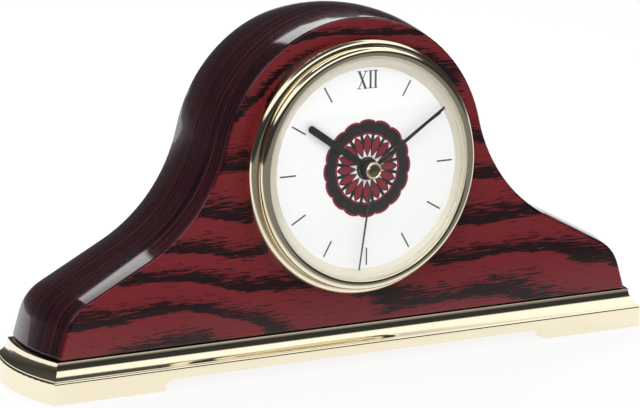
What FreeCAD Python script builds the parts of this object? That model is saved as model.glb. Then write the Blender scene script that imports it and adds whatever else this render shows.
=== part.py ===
import FreeCAD, Part
import math
import os
import Sketcher

# Mantel clock with a round hump over the dial and long sloping shoulders, on a brass plinth.
# Millimetres, +Z up. X runs to the right seen from the front, the front looks along -Y.
# The origin is the middle of the clock on the surface that it stands on.

doc = FreeCAD.newDocument("MantelClock")
sheet = doc.addObject("Spreadsheet::Sheet", "Sizes")

# Driving dimensions, in millimetres and degrees.
SIZES = (
    # Wooden case block
    ("case_side_ledge", 1.1),
    ("case_front_ledge", 0.7),
    ("dial_rise", 56.6),
    ("hump_radius", 50.3),
    ("shoulder_reach", 78.7),
    ("shoulder_rise", 29.8),
    ("shoulder_angle", 27.3),
    ("end_angle", 73.0),
    ("end_radius", 14.3),
    ("arris_radius", 1.2),
    ("crown_radius", 75.0),
    ("case_edge_radius", 1.1),
    ("bore_radius", 40.8),
    ("bore_depth", 12.2),
    ("well_radius", 33.0),
    ("cut_overrun", 5.0),
    # Brass plinth
    ("base_width", 234.0),
    ("base_depth", 48.0),
    ("base_height", 13.8),
    ("base_bow", 4.2),
    ("end_cut_angle", 60.0),
    ("base_lift", 0.4),
    ("band_height", 7.2),
    ("nose_radius", 1.0),
    ("band_ledge", 0.55),
    ("cove_start", 8.4),
    ("cove_inset", 3.7),
    ("cove_radius", 6.2),
    ("base_wall", 2.4),
    ("base_top", 2.8),
    ("foot_reach", 76.2),
    ("foot_cove", 3.5),
    ("apron_lift", 3.7),
    ("boss_radius", 6.0),
    ("boss_inset", 15.0),
    ("boss_spread", 10.5),
    ("felt_margin", 0.5),
    ("felt_thickness", 1.2),
    # Wood screws from below
    ("screw_inset", 22.0),
    ("screw_spread", 9.0),
    ("screw_radius", 1.25),
    ("screw_play", 0.6),
    ("thread_play", 0.05),
    ("screw_head_radius", 3.4),
    ("screw_head_height", 2.0),
    ("screw_bite", 11.0),
    ("pilot_room", 0.5),
    # Clock insert: bezel, lens, reflector ring, dial plate, can and grip band
    ("can_radius", 39.9),
    ("can_wall", 0.8),
    ("can_proud", 6.4),
    ("can_reach", 11.2),
    ("can_play", 0.1),
    ("stack_play", 0.3),
    ("dial_thickness", 0.6),
    ("ring_height", 1.2),
    ("ring_lip", 0.6),
    ("dial_opening", 35.1),
    ("lens_thickness", 1.0),
    ("lens_rim", 1.1),
    ("lens_shoulder", 2.4),
    ("lens_shoulder_rise", 1.5),
    ("lens_rise", 4.5),
    ("lip_overlap", 1.1),
    ("lip_thickness", 0.4),
    ("inner_bead_radius", 1.8),
    ("inner_bead_wall", 2.45),
    ("groove_width", 0.4),
    ("groove_depth", 0.5),
    ("outer_bead_run", 1.9),
    ("outer_bead_rise", 2.2),
    ("bezel_radius", 44.5),
    ("outer_bead_height", 4.2),
    ("bezel_wall", 1.1),
    ("tube_wall", 0.8),
    ("bezel_hollow", 4.4),
    ("band_play", 0.1),
    ("band_thickness", 0.35),
    ("rib_count", 4),
    ("rib_width", 0.9),
    ("band_width", 9.6),
    ("band_setback", 1.0),
    ("window_width", 52.0),
    # Movement housing
    ("move_margin", 2.4),
    ("move_depth", 16.0),
    ("move_corner", 5.5),
    ("move_wall", 1.2),
    ("move_setback", 0.7),
    ("bush_radius", 3.9),
    ("bush_rise", 0.3),
    ("bush_play", 0.2),
    ("bridge_rise", 4.1),
    ("bridge_thickness", 0.8),
    ("bridge_left", 20.0),
    ("bridge_right", 21.5),
    ("bridge_foot", 9.5),
    ("bridge_head", 14.8),
    ("bridge_corner", 2.0),
    ("post_radius", 1.7),
    ("post_inset", 2.2),
    ("left_post_share", 0.2),
    ("bridge_screw_radius", 0.6),
    ("bridge_screw_head", 1.4),
    ("bridge_screw_cap", 0.7),
    # Arbors and pipes
    ("arbor_radius", 0.6),
    ("pivot_radius", 0.35),
    ("pivot_play", 0.05),
    ("end_shake", 0.1),
    ("pivot_relief", 0.2),
    ("pass_play", 0.2),
    ("second_arbor_radius", 0.5),
    ("minute_pipe_wall", 0.67),
    ("hour_pipe_wall", 0.88),
    ("pipe_play", 0.08),
    ("setting_arbor_radius", 0.65),
    ("stud_radius", 0.9),
    # Wheels: teeth, spans between axes, widths and gaps along the depth
    ("hour_teeth", 40),
    ("hour_pinion_teeth", 10),
    ("minute_pinion_teeth", 12),
    ("minute_teeth", 36),
    ("setting_teeth", 12),
    ("centre_teeth", 64),
    ("third_pinion_teeth", 8),
    ("third_teeth", 60),
    ("second_pinion_teeth", 8),
    ("second_teeth", 48),
    ("intermediate_pinion_teeth", 8),
    ("intermediate_teeth", 40),
    ("rotor_teeth", 8),
    ("motion_span", 9.6),
    ("third_span", 10.8),
    ("third_bearing", 125.0),
    ("intermediate_bearing", 50.0),
    ("rotor_bearing", 20.0),
    ("wheel_gap", 0.3),
    ("motion_wheel_width", 1.0),
    ("wheel_width", 0.8),
    ("pressure_angle", 29.0),
    ("addendum_share", 0.8),
    ("dedendum_share", 1.0),
    ("backlash_share", 0.12),
    ("clutch_radius", 3.0),
    ("clutch_thickness", 0.2),
    ("magnet_radius", 3.5),
    ("magnet_width", 2.0),
    # Stator, coil, board and cell
    ("stator_thickness", 0.8),
    ("stator_gap", 0.5),
    ("stator_margin", 1.6),
    ("leg_width", 3.0),
    ("yoke_width", 3.0),
    ("coil_rise", 20.5),
    ("core_left", 11.0),
    ("core_right", 19.0),
    ("core_width", 1.5),
    ("core_play", 0.1),
    ("bobbin_wall", 0.45),
    ("bobbin_flange", 0.6),
    ("bobbin_flange_radius", 2.95),
    ("winding_radius", 2.8),
    ("winding_play", 0.05),
    ("coil_end_gap", 0.5),
    ("board_left", 25.5),
    ("board_right", 12.0),
    ("board_foot", 8.0),
    ("board_head", 22.0),
    ("board_thickness", 1.0),
    ("board_stand", 0.9),
    ("board_post_radius", 1.2),
    ("board_post_inset", 2.2),
    ("crystal_radius", 0.75),
    ("crystal_length", 5.0),
    ("cell_radius", 7.1),
    ("cell_length", 50.2),
    ("cell_button_radius", 2.75),
    ("cell_button", 1.0),
    ("cell_edge", 0.5),
    ("cell_drop", 18.6),
    ("cell_play", 0.2),
    ("bay_wall", 1.0),
    ("contact_thickness", 0.3),
    ("contact_width", 9.0),
    ("contact_play", 0.1),
    ("leaf_foot", 3.6),
    ("leaf_crest", 1.35),
    ("knob_radius", 6.0),
    ("knob_height", 4.0),
    ("knob_gap", 0.3),
    ("knob_flutes", 12),
    ("flute_radius", 0.7),
    # Hands
    ("hour_angle", 304.8),
    ("minute_angle", 57.1),
    ("second_angle", 187.0),
    ("hand_play", 0.02),
    ("hour_hand_gap", 1.3),
    ("hour_hand_length", 28.8),
    ("hour_hand_width", 2.6),
    ("hour_hand_thickness", 0.3),
    ("hour_hub_radius", 3.7),
    ("minute_hand_gap", 1.1),
    ("minute_hand_length", 35.2),
    ("minute_hand_width", 1.6),
    ("minute_tip_width", 1.0),
    ("minute_hand_thickness", 0.3),
    ("minute_hand_drop", 0.85),
    ("minute_hub_radius", 3.2),
    ("second_hand_gap", 1.1),
    ("second_hand_length", 35.2),
    ("second_hand_width", 0.8),
    ("second_tip_width", 0.5),
    ("second_hand_thickness", 0.2),
    ("second_hand_drop", 1.75),
    ("second_hub_radius", 2.2),
    ("pipe_collar", 0.4),
    ("cap_radius", 3.0),
    ("cap_rim", 0.8),
    ("cap_height", 0.8),
    ("cap_recess", 0.25),
)

for row, (name, number) in enumerate(SIZES, start=1):
    sheet.set("A%d" % row, name)
    sheet.set("B%d" % row, str(number))
    sheet.setAlias("B%d" % row, name)
doc.recompute()


class Size:
    # A number together with the sheet formula that it comes from.
    def __init__(self, value, formula):
        self.value = value
        self.formula = formula

    def __add__(self, other):
        other = as_size(other)
        return Size(self.value + other.value, "(%s + %s)" % (self.formula, other.formula))

    def __sub__(self, other):
        other = as_size(other)
        return Size(self.value - other.value, "(%s - %s)" % (self.formula, other.formula))

    def __mul__(self, other):
        other = as_size(other)
        return Size(self.value * other.value, "(%s * %s)" % (self.formula, other.formula))

    def __truediv__(self, other):
        other = as_size(other)
        return Size(self.value / other.value, "(%s / %s)" % (self.formula, other.formula))

    def __neg__(self):
        return Size(-self.value, "(-%s)" % self.formula)

    def __float__(self):
        return float(self.value)


def as_size(item):
    if isinstance(item, Size):
        return item
    return Size(float(item), repr(float(item)))


def size(name):
    return Size(float(sheet.get(name)), "Sizes.%s" % name)


def root(item):
    return Size(math.sqrt(item.value), "sqrt(%s)" % item.formula)


def sine(angle):
    return Size(math.sin(math.radians(angle.value)), "sin(%s)" % angle.formula)


def cosine(angle):
    return Size(math.cos(math.radians(angle.value)), "cos(%s)" % angle.formula)


def crest_radius(run, rise):
    # Radius of an arc that is level at its crest and falls by rise over run.
    return (run * run + rise * rise) / (rise * 2)


ZERO = as_size(0)

# Places shared by several pieces
base_height = size("base_height")
dial_height = base_height + size("dial_rise")
case_width = size("base_width") - (size("cove_inset") + size("case_side_ledge")) * 2
case_depth = size("base_depth") - (size("cove_inset") + size("case_front_ledge")) * 2
case_front = -case_depth / 2
bore_floor = case_front + size("bore_depth")
cut_overrun = size("cut_overrun")

# Depths of the insert, counted from the can's front rim forwards and backwards
dial_back = case_front - size("can_proud")
dial_front = dial_back - size("dial_thickness")
ring_front = dial_front - size("ring_height")
lens_front = ring_front - size("lens_thickness")
can_back = case_front + size("can_reach")
pocket_radius = size("can_radius") + size("can_play")
stack_radius = pocket_radius - size("stack_play")
lip_radius = pocket_radius - size("lip_overlap")

# The movement is as wide as its cell bay asks
bay_half = size("cell_length") / 2 + size("contact_thickness") + size("cell_play")
move_half = bay_half + size("move_margin")

# Depths of the movement
move_front = dial_back + size("move_setback")
move_back = move_front + size("move_depth")
plate_back = move_front + size("move_wall")
cover_front = move_back - size("move_wall")
bridge_front = plate_back + size("bridge_rise")
bridge_back = bridge_front + size("bridge_thickness")
gap = size("wheel_gap")
motion_width = size("motion_wheel_width")
wheel_width = size("wheel_width")
end_shake = size("end_shake")
hour_wheel_front = plate_back + end_shake * 2
minute_wheel_front = hour_wheel_front + motion_width + gap
centre_wheel_front = minute_wheel_front + motion_width + gap + end_shake
third_wheel_front = bridge_back + gap
second_wheel_front = third_wheel_front + wheel_width + gap + end_shake
intermediate_wheel_front = second_wheel_front + wheel_width + gap + end_shake
magnet_front = intermediate_wheel_front + wheel_width + gap + end_shake
stator_front = magnet_front + (size("magnet_width") - size("stator_thickness")) / 2
core_front = stator_front + size("stator_thickness")
board_back = cover_front - size("board_stand")

# Pipes, from the inside outwards
second_arbor_radius = size("second_arbor_radius")
minute_bore = second_arbor_radius + size("pipe_play")
minute_pipe_radius = minute_bore + size("minute_pipe_wall")
hour_bore = minute_pipe_radius + size("pipe_play")
hour_pipe_radius = hour_bore + size("hour_pipe_wall")
bush_bore = hour_pipe_radius + size("pipe_play")
pivot_hole = size("pivot_radius") + size("pivot_play")

# Depths of the hands at the hub
hour_hand_back = dial_front - size("hour_hand_gap")
hour_hand_front = hour_hand_back - size("hour_hand_thickness")
minute_hand_back = hour_hand_front - size("minute_hand_gap")
minute_hand_front = minute_hand_back - size("minute_hand_thickness")
second_hand_back = minute_hand_front - size("second_hand_gap")
second_hand_front = second_hand_back - size("second_hand_thickness")

# Axes of the train, as (x, z) from the dial centre
motion_span = size("motion_span")
motion_module = motion_span * 2 / (size("minute_pinion_teeth") + size("minute_teeth"))
hour_module = motion_span * 2 / (size("hour_teeth") + size("hour_pinion_teeth"))
third_span = size("third_span")
train_module = third_span * 2 / (size("centre_teeth") + size("third_pinion_teeth"))
third_module = third_span * 2 / (size("third_teeth") + size("second_pinion_teeth"))
intermediate_span = train_module * (size("second_teeth") + size("intermediate_pinion_teeth")) / 2
rotor_span = train_module * (size("intermediate_teeth") + size("rotor_teeth")) / 2
setting_span = motion_module * (size("minute_teeth") + size("setting_teeth")) / 2
centre_axis = (ZERO, ZERO)
minute_axis = (motion_span, ZERO)
setting_axis = (motion_span + setting_span, ZERO)
third_axis = (
    third_span * cosine(size("third_bearing")),
    third_span * sine(size("third_bearing")),
)
intermediate_axis = (
    intermediate_span * cosine(size("intermediate_bearing")),
    intermediate_span * sine(size("intermediate_bearing")),
)
rotor_axis = (
    intermediate_axis[0] + rotor_span * cosine(size("rotor_bearing")),
    intermediate_axis[1] + rotor_span * sine(size("rotor_bearing")),
)

# Bridge posts stand in from the bridge's edges
post_inset = size("post_inset")
post_axes = (
    (post_inset - size("bridge_left"), size("bridge_head") * size("left_post_share")),
    (size("bridge_right") - post_inset * 2, post_inset - size("bridge_foot")),
    (size("bridge_right") - post_inset * 2, size("bridge_head") - post_inset),
)


def new_body(name):
    body = doc.addObject("PartDesign::Body", name)
    body.Label = name
    return body


def bind(item, path, amount):
    item.setExpression(path, as_size(amount).formula)


def lift_to_dial(item):
    bind(item, "Placement.Base.z", dial_height)


def new_sketch(body, name, plane, offset=None):
    # Plane is XY, XZ or YZ. An offset moves the sketch along its plane's normal.
    sketch = body.newObject("Sketcher::SketchObject", name)
    wanted = plane + "_Plane"
    base = [item for item in body.Origin.OriginFeatures if item.Role == wanted][0]
    sketch.AttachmentSupport = [(base, "")]
    sketch.MapMode = "FlatFace"
    if offset is not None:
        bind(sketch, "AttachmentOffset.Base.z", offset)
    return sketch


def fix_point(sketch, geo, pos, x, y):
    # Ties one point of the sketch to its place from the sketch's origin.
    for kind, axis, amount in (("DistanceX", -2, as_size(x)), ("DistanceY", -1, as_size(y))):
        if amount.formula == ZERO.formula:
            sketch.addConstraint(Sketcher.Constraint("PointOnObject", geo, pos, axis))
            continue
        index = sketch.addConstraint(Sketcher.Constraint(kind, -1, 1, geo, pos, amount.value))
        bind(sketch, "Constraints[%d]" % index, amount)


def fix_radius(sketch, geo, amount):
    amount = as_size(amount)
    index = sketch.addConstraint(Sketcher.Constraint("Radius", geo, amount.value))
    bind(sketch, "Constraints[%d]" % index, amount)


def arc_between(first, last, radius, bulge):
    # Short arc from first to last. A bulge of 1 swells to the right of the way, -1 to the left.
    middle = (first + last) * 0.5
    chord = last - first
    half = chord.Length / 2
    reach = math.sqrt(max(radius * radius - half * half, 0.0))
    left = FreeCAD.Vector(-chord.y, chord.x, 0).normalize()
    centre = middle + left * reach * bulge
    start, end = (first, last) if bulge > 0 else (last, first)
    a0 = math.atan2(start.y - centre.y, start.x - centre.x)
    a1 = math.atan2(end.y - centre.y, end.x - centre.x)
    circle = Part.Circle(centre, FreeCAD.Vector(0, 0, 1), radius)
    return Part.ArcOfCircle(circle, a0, a1)


def draw_outline(sketch, corners, arcs=None):
    # Closed outline through the corners. Arcs maps a side's number to its (radius, bulge), or to
    # (radius, bulge, True) where the arc's centre lies on the upright axis of the sketch.
    arcs = arcs or {}
    spots = [FreeCAD.Vector(float(as_size(x)), float(as_size(y)), 0) for x, y in corners]
    ends = []
    first_geo = sketch.GeometryCount
    for number, spot in enumerate(spots):
        after = spots[(number + 1) % len(spots)]
        if number in arcs:
            radius, bulge = arcs[number][:2]
            geo = sketch.addGeometry(arc_between(spot, after, float(radius), bulge), False)
            if len(arcs[number]) > 2:
                sketch.addConstraint(Sketcher.Constraint("PointOnObject", geo, 3, -2))
            else:
                fix_radius(sketch, geo, radius)
            ends.append((1, 2) if bulge > 0 else (2, 1))
        else:
            sketch.addGeometry(Part.LineSegment(spot, after), False)
            ends.append((1, 2))
    for number, corner in enumerate(corners):
        before = (number - 1) % len(corners)
        geo = first_geo + number
        joint = Sketcher.Constraint(
            "Coincident", first_geo + before, ends[before][1], geo, ends[number][0]
        )
        sketch.addConstraint(joint)
        fix_point(sketch, geo, ends[number][0], corner[0], corner[1])


def draw_circle(sketch, x, y, radius):
    centre = FreeCAD.Vector(float(as_size(x)), float(as_size(y)), 0)
    circle = Part.Circle(centre, FreeCAD.Vector(0, 0, 1), float(as_size(radius)))
    geo = sketch.addGeometry(circle, False)
    if as_size(x).formula == ZERO.formula and as_size(y).formula == ZERO.formula:
        sketch.addConstraint(Sketcher.Constraint("Coincident", geo, 3, -1, 1))
    else:
        fix_point(sketch, geo, 3, x, y)
    fix_radius(sketch, geo, radius)


def box_corners(left, right, low, high):
    return [(left, low), (right, low), (right, high), (left, high)]


def rounded_corners(left, right, low, high, radius):
    # Corners and arcs of a rectangle with round corners.
    corners = [
        (left + radius, low),
        (right - radius, low),
        (right, low + radius),
        (right, high - radius),
        (right - radius, high),
        (left + radius, high),
        (left, high - radius),
        (left, low + radius),
    ]
    return corners, {1: (radius, 1), 3: (radius, 1), 5: (radius, 1), 7: (radius, 1)}


def pad(body, name, sketch, length, backwards=False):
    feature = body.newObject("PartDesign::Pad", name)
    feature.Profile = sketch
    feature.Reversed = backwards
    bind(feature, "Length", length)
    return feature


def pocket(body, name, sketch, length, backwards=False):
    feature = body.newObject("PartDesign::Pocket", name)
    feature.Profile = sketch
    feature.Reversed = backwards
    bind(feature, "Length", length)
    return feature


def revolve(body, name, sketch, axis="V_Axis"):
    feature = body.newObject("PartDesign::Revolution", name)
    feature.Profile = sketch
    feature.ReferenceAxis = (sketch, [axis])
    feature.Angle = 360
    return feature


def slab(body, name, front, back, draw):
    # Solid between two depths whose outline lies in the XZ plane.
    sketch = new_sketch(body, name + "_outline", "XZ", -back)
    draw(sketch)
    return pad(body, name, sketch, back - front)


def recess(body, name, front, back, draw):
    # Cut between two depths whose outline lies in the XZ plane.
    sketch = new_sketch(body, name + "_outline", "XZ", -front)
    draw(sketch)
    return pocket(body, name, sketch, back - front)


def turned(name, corners, arcs=None):
    # Ring or disc turned about the dial's axis, from (radius, depth) corners.
    body = new_body(name)
    sketch = new_sketch(body, name + "_section", "XY")
    draw_outline(sketch, corners, arcs)
    revolve(body, name + "_turning", sketch)
    lift_to_dial(body)
    return body


def hat_points():
    # Right half of the case's front outline, worked out to start its sketch near the answer.
    low = float(base_height - cut_overrun)
    lean = math.radians(float(size("end_angle")))
    fall = math.radians(float(size("shoulder_angle")))
    radius = float(size("end_radius"))
    slip = float(cut_overrun) / math.tan(lean)
    foot = FreeCAD.Vector(float(case_width) / 2 + slip, low, 0)
    reach = float(size("shoulder_reach"))
    knee = FreeCAD.Vector(reach, float(base_height + size("shoulder_rise")), 0)
    end_in = FreeCAD.Vector(-math.sin(lean), -math.cos(lean), 0)
    slope_in = FreeCAD.Vector(-math.sin(fall), -math.cos(fall), 0)
    a = radius + end_in.dot(foot)
    b = radius + slope_in.dot(knee)
    span = end_in.x * slope_in.y - end_in.y * slope_in.x
    centre_x = (a * slope_in.y - b * end_in.y) / span
    centre_y = (b * end_in.x - a * slope_in.x) / span
    centre = FreeCAD.Vector(centre_x, centre_y, 0)
    dial = FreeCAD.Vector(0, float(dial_height), 0)
    hump = float(size("hump_radius"))
    away = knee - dial
    out = -slope_in
    hollow = (away.dot(away) - hump * hump) / (2 * (hump - away.dot(out)))
    hollow_centre = knee + out * hollow
    join = dial + (hollow_centre - dial).normalize() * hump
    top = FreeCAD.Vector(0, dial.y + hump, 0)
    points = [foot, centre - end_in * radius, centre - slope_in * radius, knee, join, top]
    return points, radius, hollow, hump


def draw_hat_line(sketch):
    # End, round corner, straight shoulder, hollow and hump, tangent to each other.
    points, end_radius, hollow, hump = hat_points()
    foot, end_top, corner_top, knee, join, top = points
    lines = (
        Part.LineSegment(foot, end_top),
        arc_between(end_top, corner_top, end_radius, 1),
        Part.LineSegment(corner_top, knee),
        arc_between(knee, join, hollow, -1),
        arc_between(join, top, hump, 1),
    )
    for line in lines:
        sketch.addGeometry(line, False)
    for first, first_end, second, second_end in (
        (0, 2, 1, 1), (1, 2, 2, 1), (2, 2, 3, 2), (3, 1, 4, 1),
    ):
        joint = Sketcher.Constraint("Tangent", first, first_end, second, second_end)
        sketch.addConstraint(joint)
    fix_radius(sketch, 1, size("end_radius"))
    fix_radius(sketch, 4, size("hump_radius"))
    fix_point(sketch, 4, 3, ZERO, dial_height)
    sketch.addConstraint(Sketcher.Constraint("PointOnObject", 4, 2, -2))
    slip = cut_overrun * cosine(size("end_angle")) / sine(size("end_angle"))
    fix_point(sketch, 0, 1, case_width / 2 + slip, base_height - cut_overrun)
    fix_point(sketch, 2, 2, size("shoulder_reach"), base_height + size("shoulder_rise"))
    for geo, amount, turn in ((0, size("end_angle"), 180), (2, size("shoulder_angle"), 180)):
        angle = as_size(turn) - amount
        index = sketch.addConstraint(Sketcher.Constraint("Angle", geo, math.radians(angle.value)))
        bind(sketch, "Constraints[%d]" % index, angle)


def make_case_body():
    body = new_body("case_body")
    depth = case_depth
    half = depth / 2
    outline = new_sketch(body, "case_outline", "XZ", -half)
    draw_hat_line(outline)
    points = hat_points()[0]
    foot, top = points[0], points[-1]
    low = FreeCAD.Vector(0, foot.y, 0)
    middle = outline.addGeometry(Part.LineSegment(top, low), False)
    bottom = outline.addGeometry(Part.LineSegment(low, foot), False)
    for first, first_end, second, second_end in (
        (4, 2, middle, 1), (middle, 2, bottom, 1), (bottom, 2, 0, 1),
    ):
        joint = Sketcher.Constraint("Coincident", first, first_end, second, second_end)
        outline.addConstraint(joint)
    outline.addConstraint(Sketcher.Constraint("Horizontal", bottom))
    outline.addConstraint(Sketcher.Constraint("Vertical", middle))
    block = pad(body, "case_block", outline, depth)
    # The band over ends, shoulders and hump is crowned between two rounded arrises.
    way = new_sketch(body, "crown_way", "XZ")
    draw_hat_line(way)
    section = new_sketch(body, "crown_section", "YZ")
    draw_crown(section, half)
    doc.recompute()
    crown = body.newObject("PartDesign::AdditivePipe", "case_crown")
    crown.Profile = section
    crown.Spine = (way, ["Edge%d" % number for number in range(1, 6)])
    doc.recompute()
    mirror = body.newObject("PartDesign::Mirrored", "case_halves")
    mirror.Originals = [block, crown]
    side = [item for item in body.Origin.OriginFeatures if item.Role == "YZ_Plane"][0]
    mirror.MirrorPlane = (side, [""])
    body.Tip = mirror
    # The bottom is trimmed level, and its edge is eased all round.
    trim = new_sketch(body, "case_trim_outline", "XY", base_height)
    reach = case_width
    draw_outline(trim, box_corners(-reach, reach, -depth, depth))
    pocket(body, "case_trim", trim, cut_overrun * 2)
    doc.recompute()
    trimmed = body.Tip
    # The edges that lie in the bottom face are those whose box has no height there.
    level = float(base_height)
    near = float(size("arris_radius")) / 2
    edges = []
    for number, edge in enumerate(trimmed.Shape.Edges, start=1):
        if abs(edge.BoundBox.ZMax - level) < near:
            edges.append("Edge%d" % number)
    easing = body.newObject("PartDesign::Fillet", "case_bottom_easing")
    easing.Base = (trimmed, edges)
    bind(easing, "Radius", size("case_edge_radius"))
    doc.recompute()
    front = new_sketch(body, "insert_bore_outline", "XZ", half + cut_overrun)
    draw_circle(front, ZERO, dial_height, size("bore_radius"))
    pocket(body, "insert_bore", front, size("bore_depth") + cut_overrun)
    rear = new_sketch(body, "access_well_outline", "XZ", -half - cut_overrun)
    draw_circle(rear, ZERO, dial_height, size("well_radius"))
    pocket(body, "access_well", rear, depth, True)
    holes = new_sketch(body, "pilot_hole_outline", "XY", base_height - cut_overrun)
    pilot = size("screw_radius") + size("thread_play")
    for x, y in screw_places():
        draw_circle(holes, x, y, pilot)
    pilot_depth = size("screw_bite") + cut_overrun + size("pilot_room")
    pocket(body, "pilot_holes", holes, pilot_depth, True)
    return body


def draw_crown(sketch, half):
    # Section of the band: two arris arcs and the crown arc tangent to both, over the hump's top.
    arris = size("arris_radius")
    crown = size("crown_radius")
    level = dial_height + size("hump_radius")
    inner = crown - arris
    shoulder = half - arris
    drop = root(inner * inner - shoulder * shoulder)
    touch_y = shoulder * crown / inner
    touch_z = drop * crown / inner - drop
    sunk = level - arris
    corners = [
        (-half, sunk),
        (half, sunk),
        (half, level),
        (touch_y, level + touch_z),
        (-touch_y, level + touch_z),
        (-half, level),
    ]
    draw_outline(sketch, corners, {2: (arris, 1), 3: (crown, 1), 4: (arris, 1)})


def screw_places():
    reach = size("base_width") / 2 - size("boss_inset") - size("screw_inset")
    spread = size("screw_spread")
    return [(reach * i, spread * j) for i in (-1, 1) for j in (-1, 1)]


def boss_places():
    reach = size("base_width") / 2 - size("boss_inset")
    spread = size("boss_spread")
    return [(reach * i, spread * j) for i in (-1, 1) for j in (-1, 1)]


def moulding(place):
    # Points and arcs of the plinth's moulding from the floor up. Place turns an inset and a
    # height into a point of the sketch.
    nose = size("nose_radius")
    step = size("band_ledge")
    inner = nose - step
    rise = root(nose * nose - inner * inner)
    points = [
        place(ZERO, size("base_lift")),
        place(ZERO, size("band_height")),
        place(step, size("band_height") + rise),
        place(step, size("cove_start")),
        place(size("cove_inset"), base_height),
    ]
    return points, {1: nose, 3: size("cove_radius")}


def make_base_plinth():
    body = new_body("base_plinth")
    half_width = size("base_width") / 2
    half_depth = size("base_depth") / 2
    bow = size("base_bow")
    reach = half_width + bow
    # Front and back mouldings run along the plinth.
    right, radii = moulding(lambda inset, level: (half_depth - inset, level))
    left = moulding(lambda inset, level: (inset - half_depth, level))[0]
    corners = right + left[::-1]
    arcs = {
        1: (radii[1], 1),
        3: (radii[3], -1),
        5: (radii[3], -1),
        7: (radii[1], 1),
    }
    section = new_sketch(body, "plinth_section", "YZ", -reach)
    draw_outline(section, corners, arcs)
    block = pad(body, "plinth_block", section, reach * 2)
    # The ends are bowed in plan, and carry the same moulding round.
    bow_radius = (half_depth * half_depth + bow * bow) / (bow * 2)
    centre = reach - bow_radius
    outer = reach + cut_overrun
    for name, way in (("right", 1), ("left", -1)):
        cutter = new_sketch(body, "plinth_%s_end_section" % name, "XZ")
        points, radii = moulding(lambda inset, level: ((reach - inset) * way, level))
        low = size("base_lift") - cut_overrun
        high = base_height + cut_overrun
        points = [((reach * way), low)] + points + [
            ((reach - size("cove_inset")) * way, high),
            (outer * way, high),
            (outer * way, low),
        ]
        draw_outline(cutter, points, {2: (radii[1], way), 4: (radii[3], -way)})
        axis = cutter.addGeometry(
            Part.LineSegment(
                FreeCAD.Vector(float(centre) * way, float(low), 0),
                FreeCAD.Vector(float(centre) * way, float(high), 0),
            ),
            True,
        )
        fix_point(cutter, axis, 1, centre * way, low)
        fix_point(cutter, axis, 2, centre * way, high)
        groove = body.newObject("PartDesign::Groove", "plinth_%s_end" % name)
        groove.Profile = cutter
        groove.ReferenceAxis = (cutter, ["Axis0"])
        groove.Midplane = True
        bind(groove, "Angle", size("end_cut_angle"))
    # The casting is hollow below, with a boss in each corner for the felt pads.
    wall = size("cove_inset") + size("base_wall")
    roof = base_height - size("base_top")
    hollow = new_sketch(body, "plinth_hollow_outline", "XY", -cut_overrun)
    inner_x = half_width - wall
    inner_y = half_depth - wall
    draw_outline(hollow, box_corners(-inner_x, inner_x, -inner_y, inner_y))
    pocket(body, "plinth_hollow", hollow, roof + cut_overrun, True)
    boss = new_sketch(body, "plinth_boss_outline", "XY", size("felt_thickness"))
    for x, y in boss_places():
        draw_circle(boss, x, y, size("boss_radius"))
    pad(body, "plinth_bosses", boss, roof - size("felt_thickness"))
    # The space between the bracket feet, open to front and back.
    foot = size("foot_reach")
    cove = size("foot_cove")
    crown = size("base_lift") + size("apron_lift")
    apron = new_sketch(body, "apron_outline", "XZ", -size("base_depth"))
    corners = [
        (-foot, -cut_overrun),
        (foot, -cut_overrun),
        (foot, size("base_lift")),
        (foot - cove, crown),
        (cove - foot, crown),
        (-foot, size("base_lift")),
    ]
    foot_radius = crest_radius(cove, size("apron_lift"))
    draw_outline(apron, corners, {2: (foot_radius, 1), 4: (foot_radius, 1)})
    pocket(body, "apron_cut", apron, size("base_depth") * 2, True)
    screw = new_sketch(body, "plinth_screw_outline", "XY", roof - cut_overrun)
    for x, y in screw_places():
        draw_circle(screw, x, y, size("screw_radius") + size("screw_play"))
    pocket(body, "plinth_screw_holes", screw, size("base_top") + cut_overrun * 2, True)
    return body


def make_base_screws():
    body = new_body("base_screws")
    body.AllowCompound = True
    roof = base_height - size("base_top")
    shank = new_sketch(body, "screw_shank_outline", "XY", roof)
    head = new_sketch(body, "screw_head_outline", "XY", roof - size("screw_head_height"))
    for x, y in screw_places():
        draw_circle(shank, x, y, size("screw_radius"))
        draw_circle(head, x, y, size("screw_head_radius"))
    pad(body, "screw_heads", head, size("screw_head_height"))
    pad(body, "screw_shanks", shank, size("base_top") + size("screw_bite"))
    return body


def make_base_felt_pads():
    body = new_body("base_felt_pads")
    body.AllowCompound = True
    outline = new_sketch(body, "felt_outline", "XY")
    for x, y in boss_places():
        draw_circle(outline, x, y, size("boss_radius") - size("felt_margin"))
    pad(body, "felt_discs", outline, size("felt_thickness"))
    return body


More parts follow.
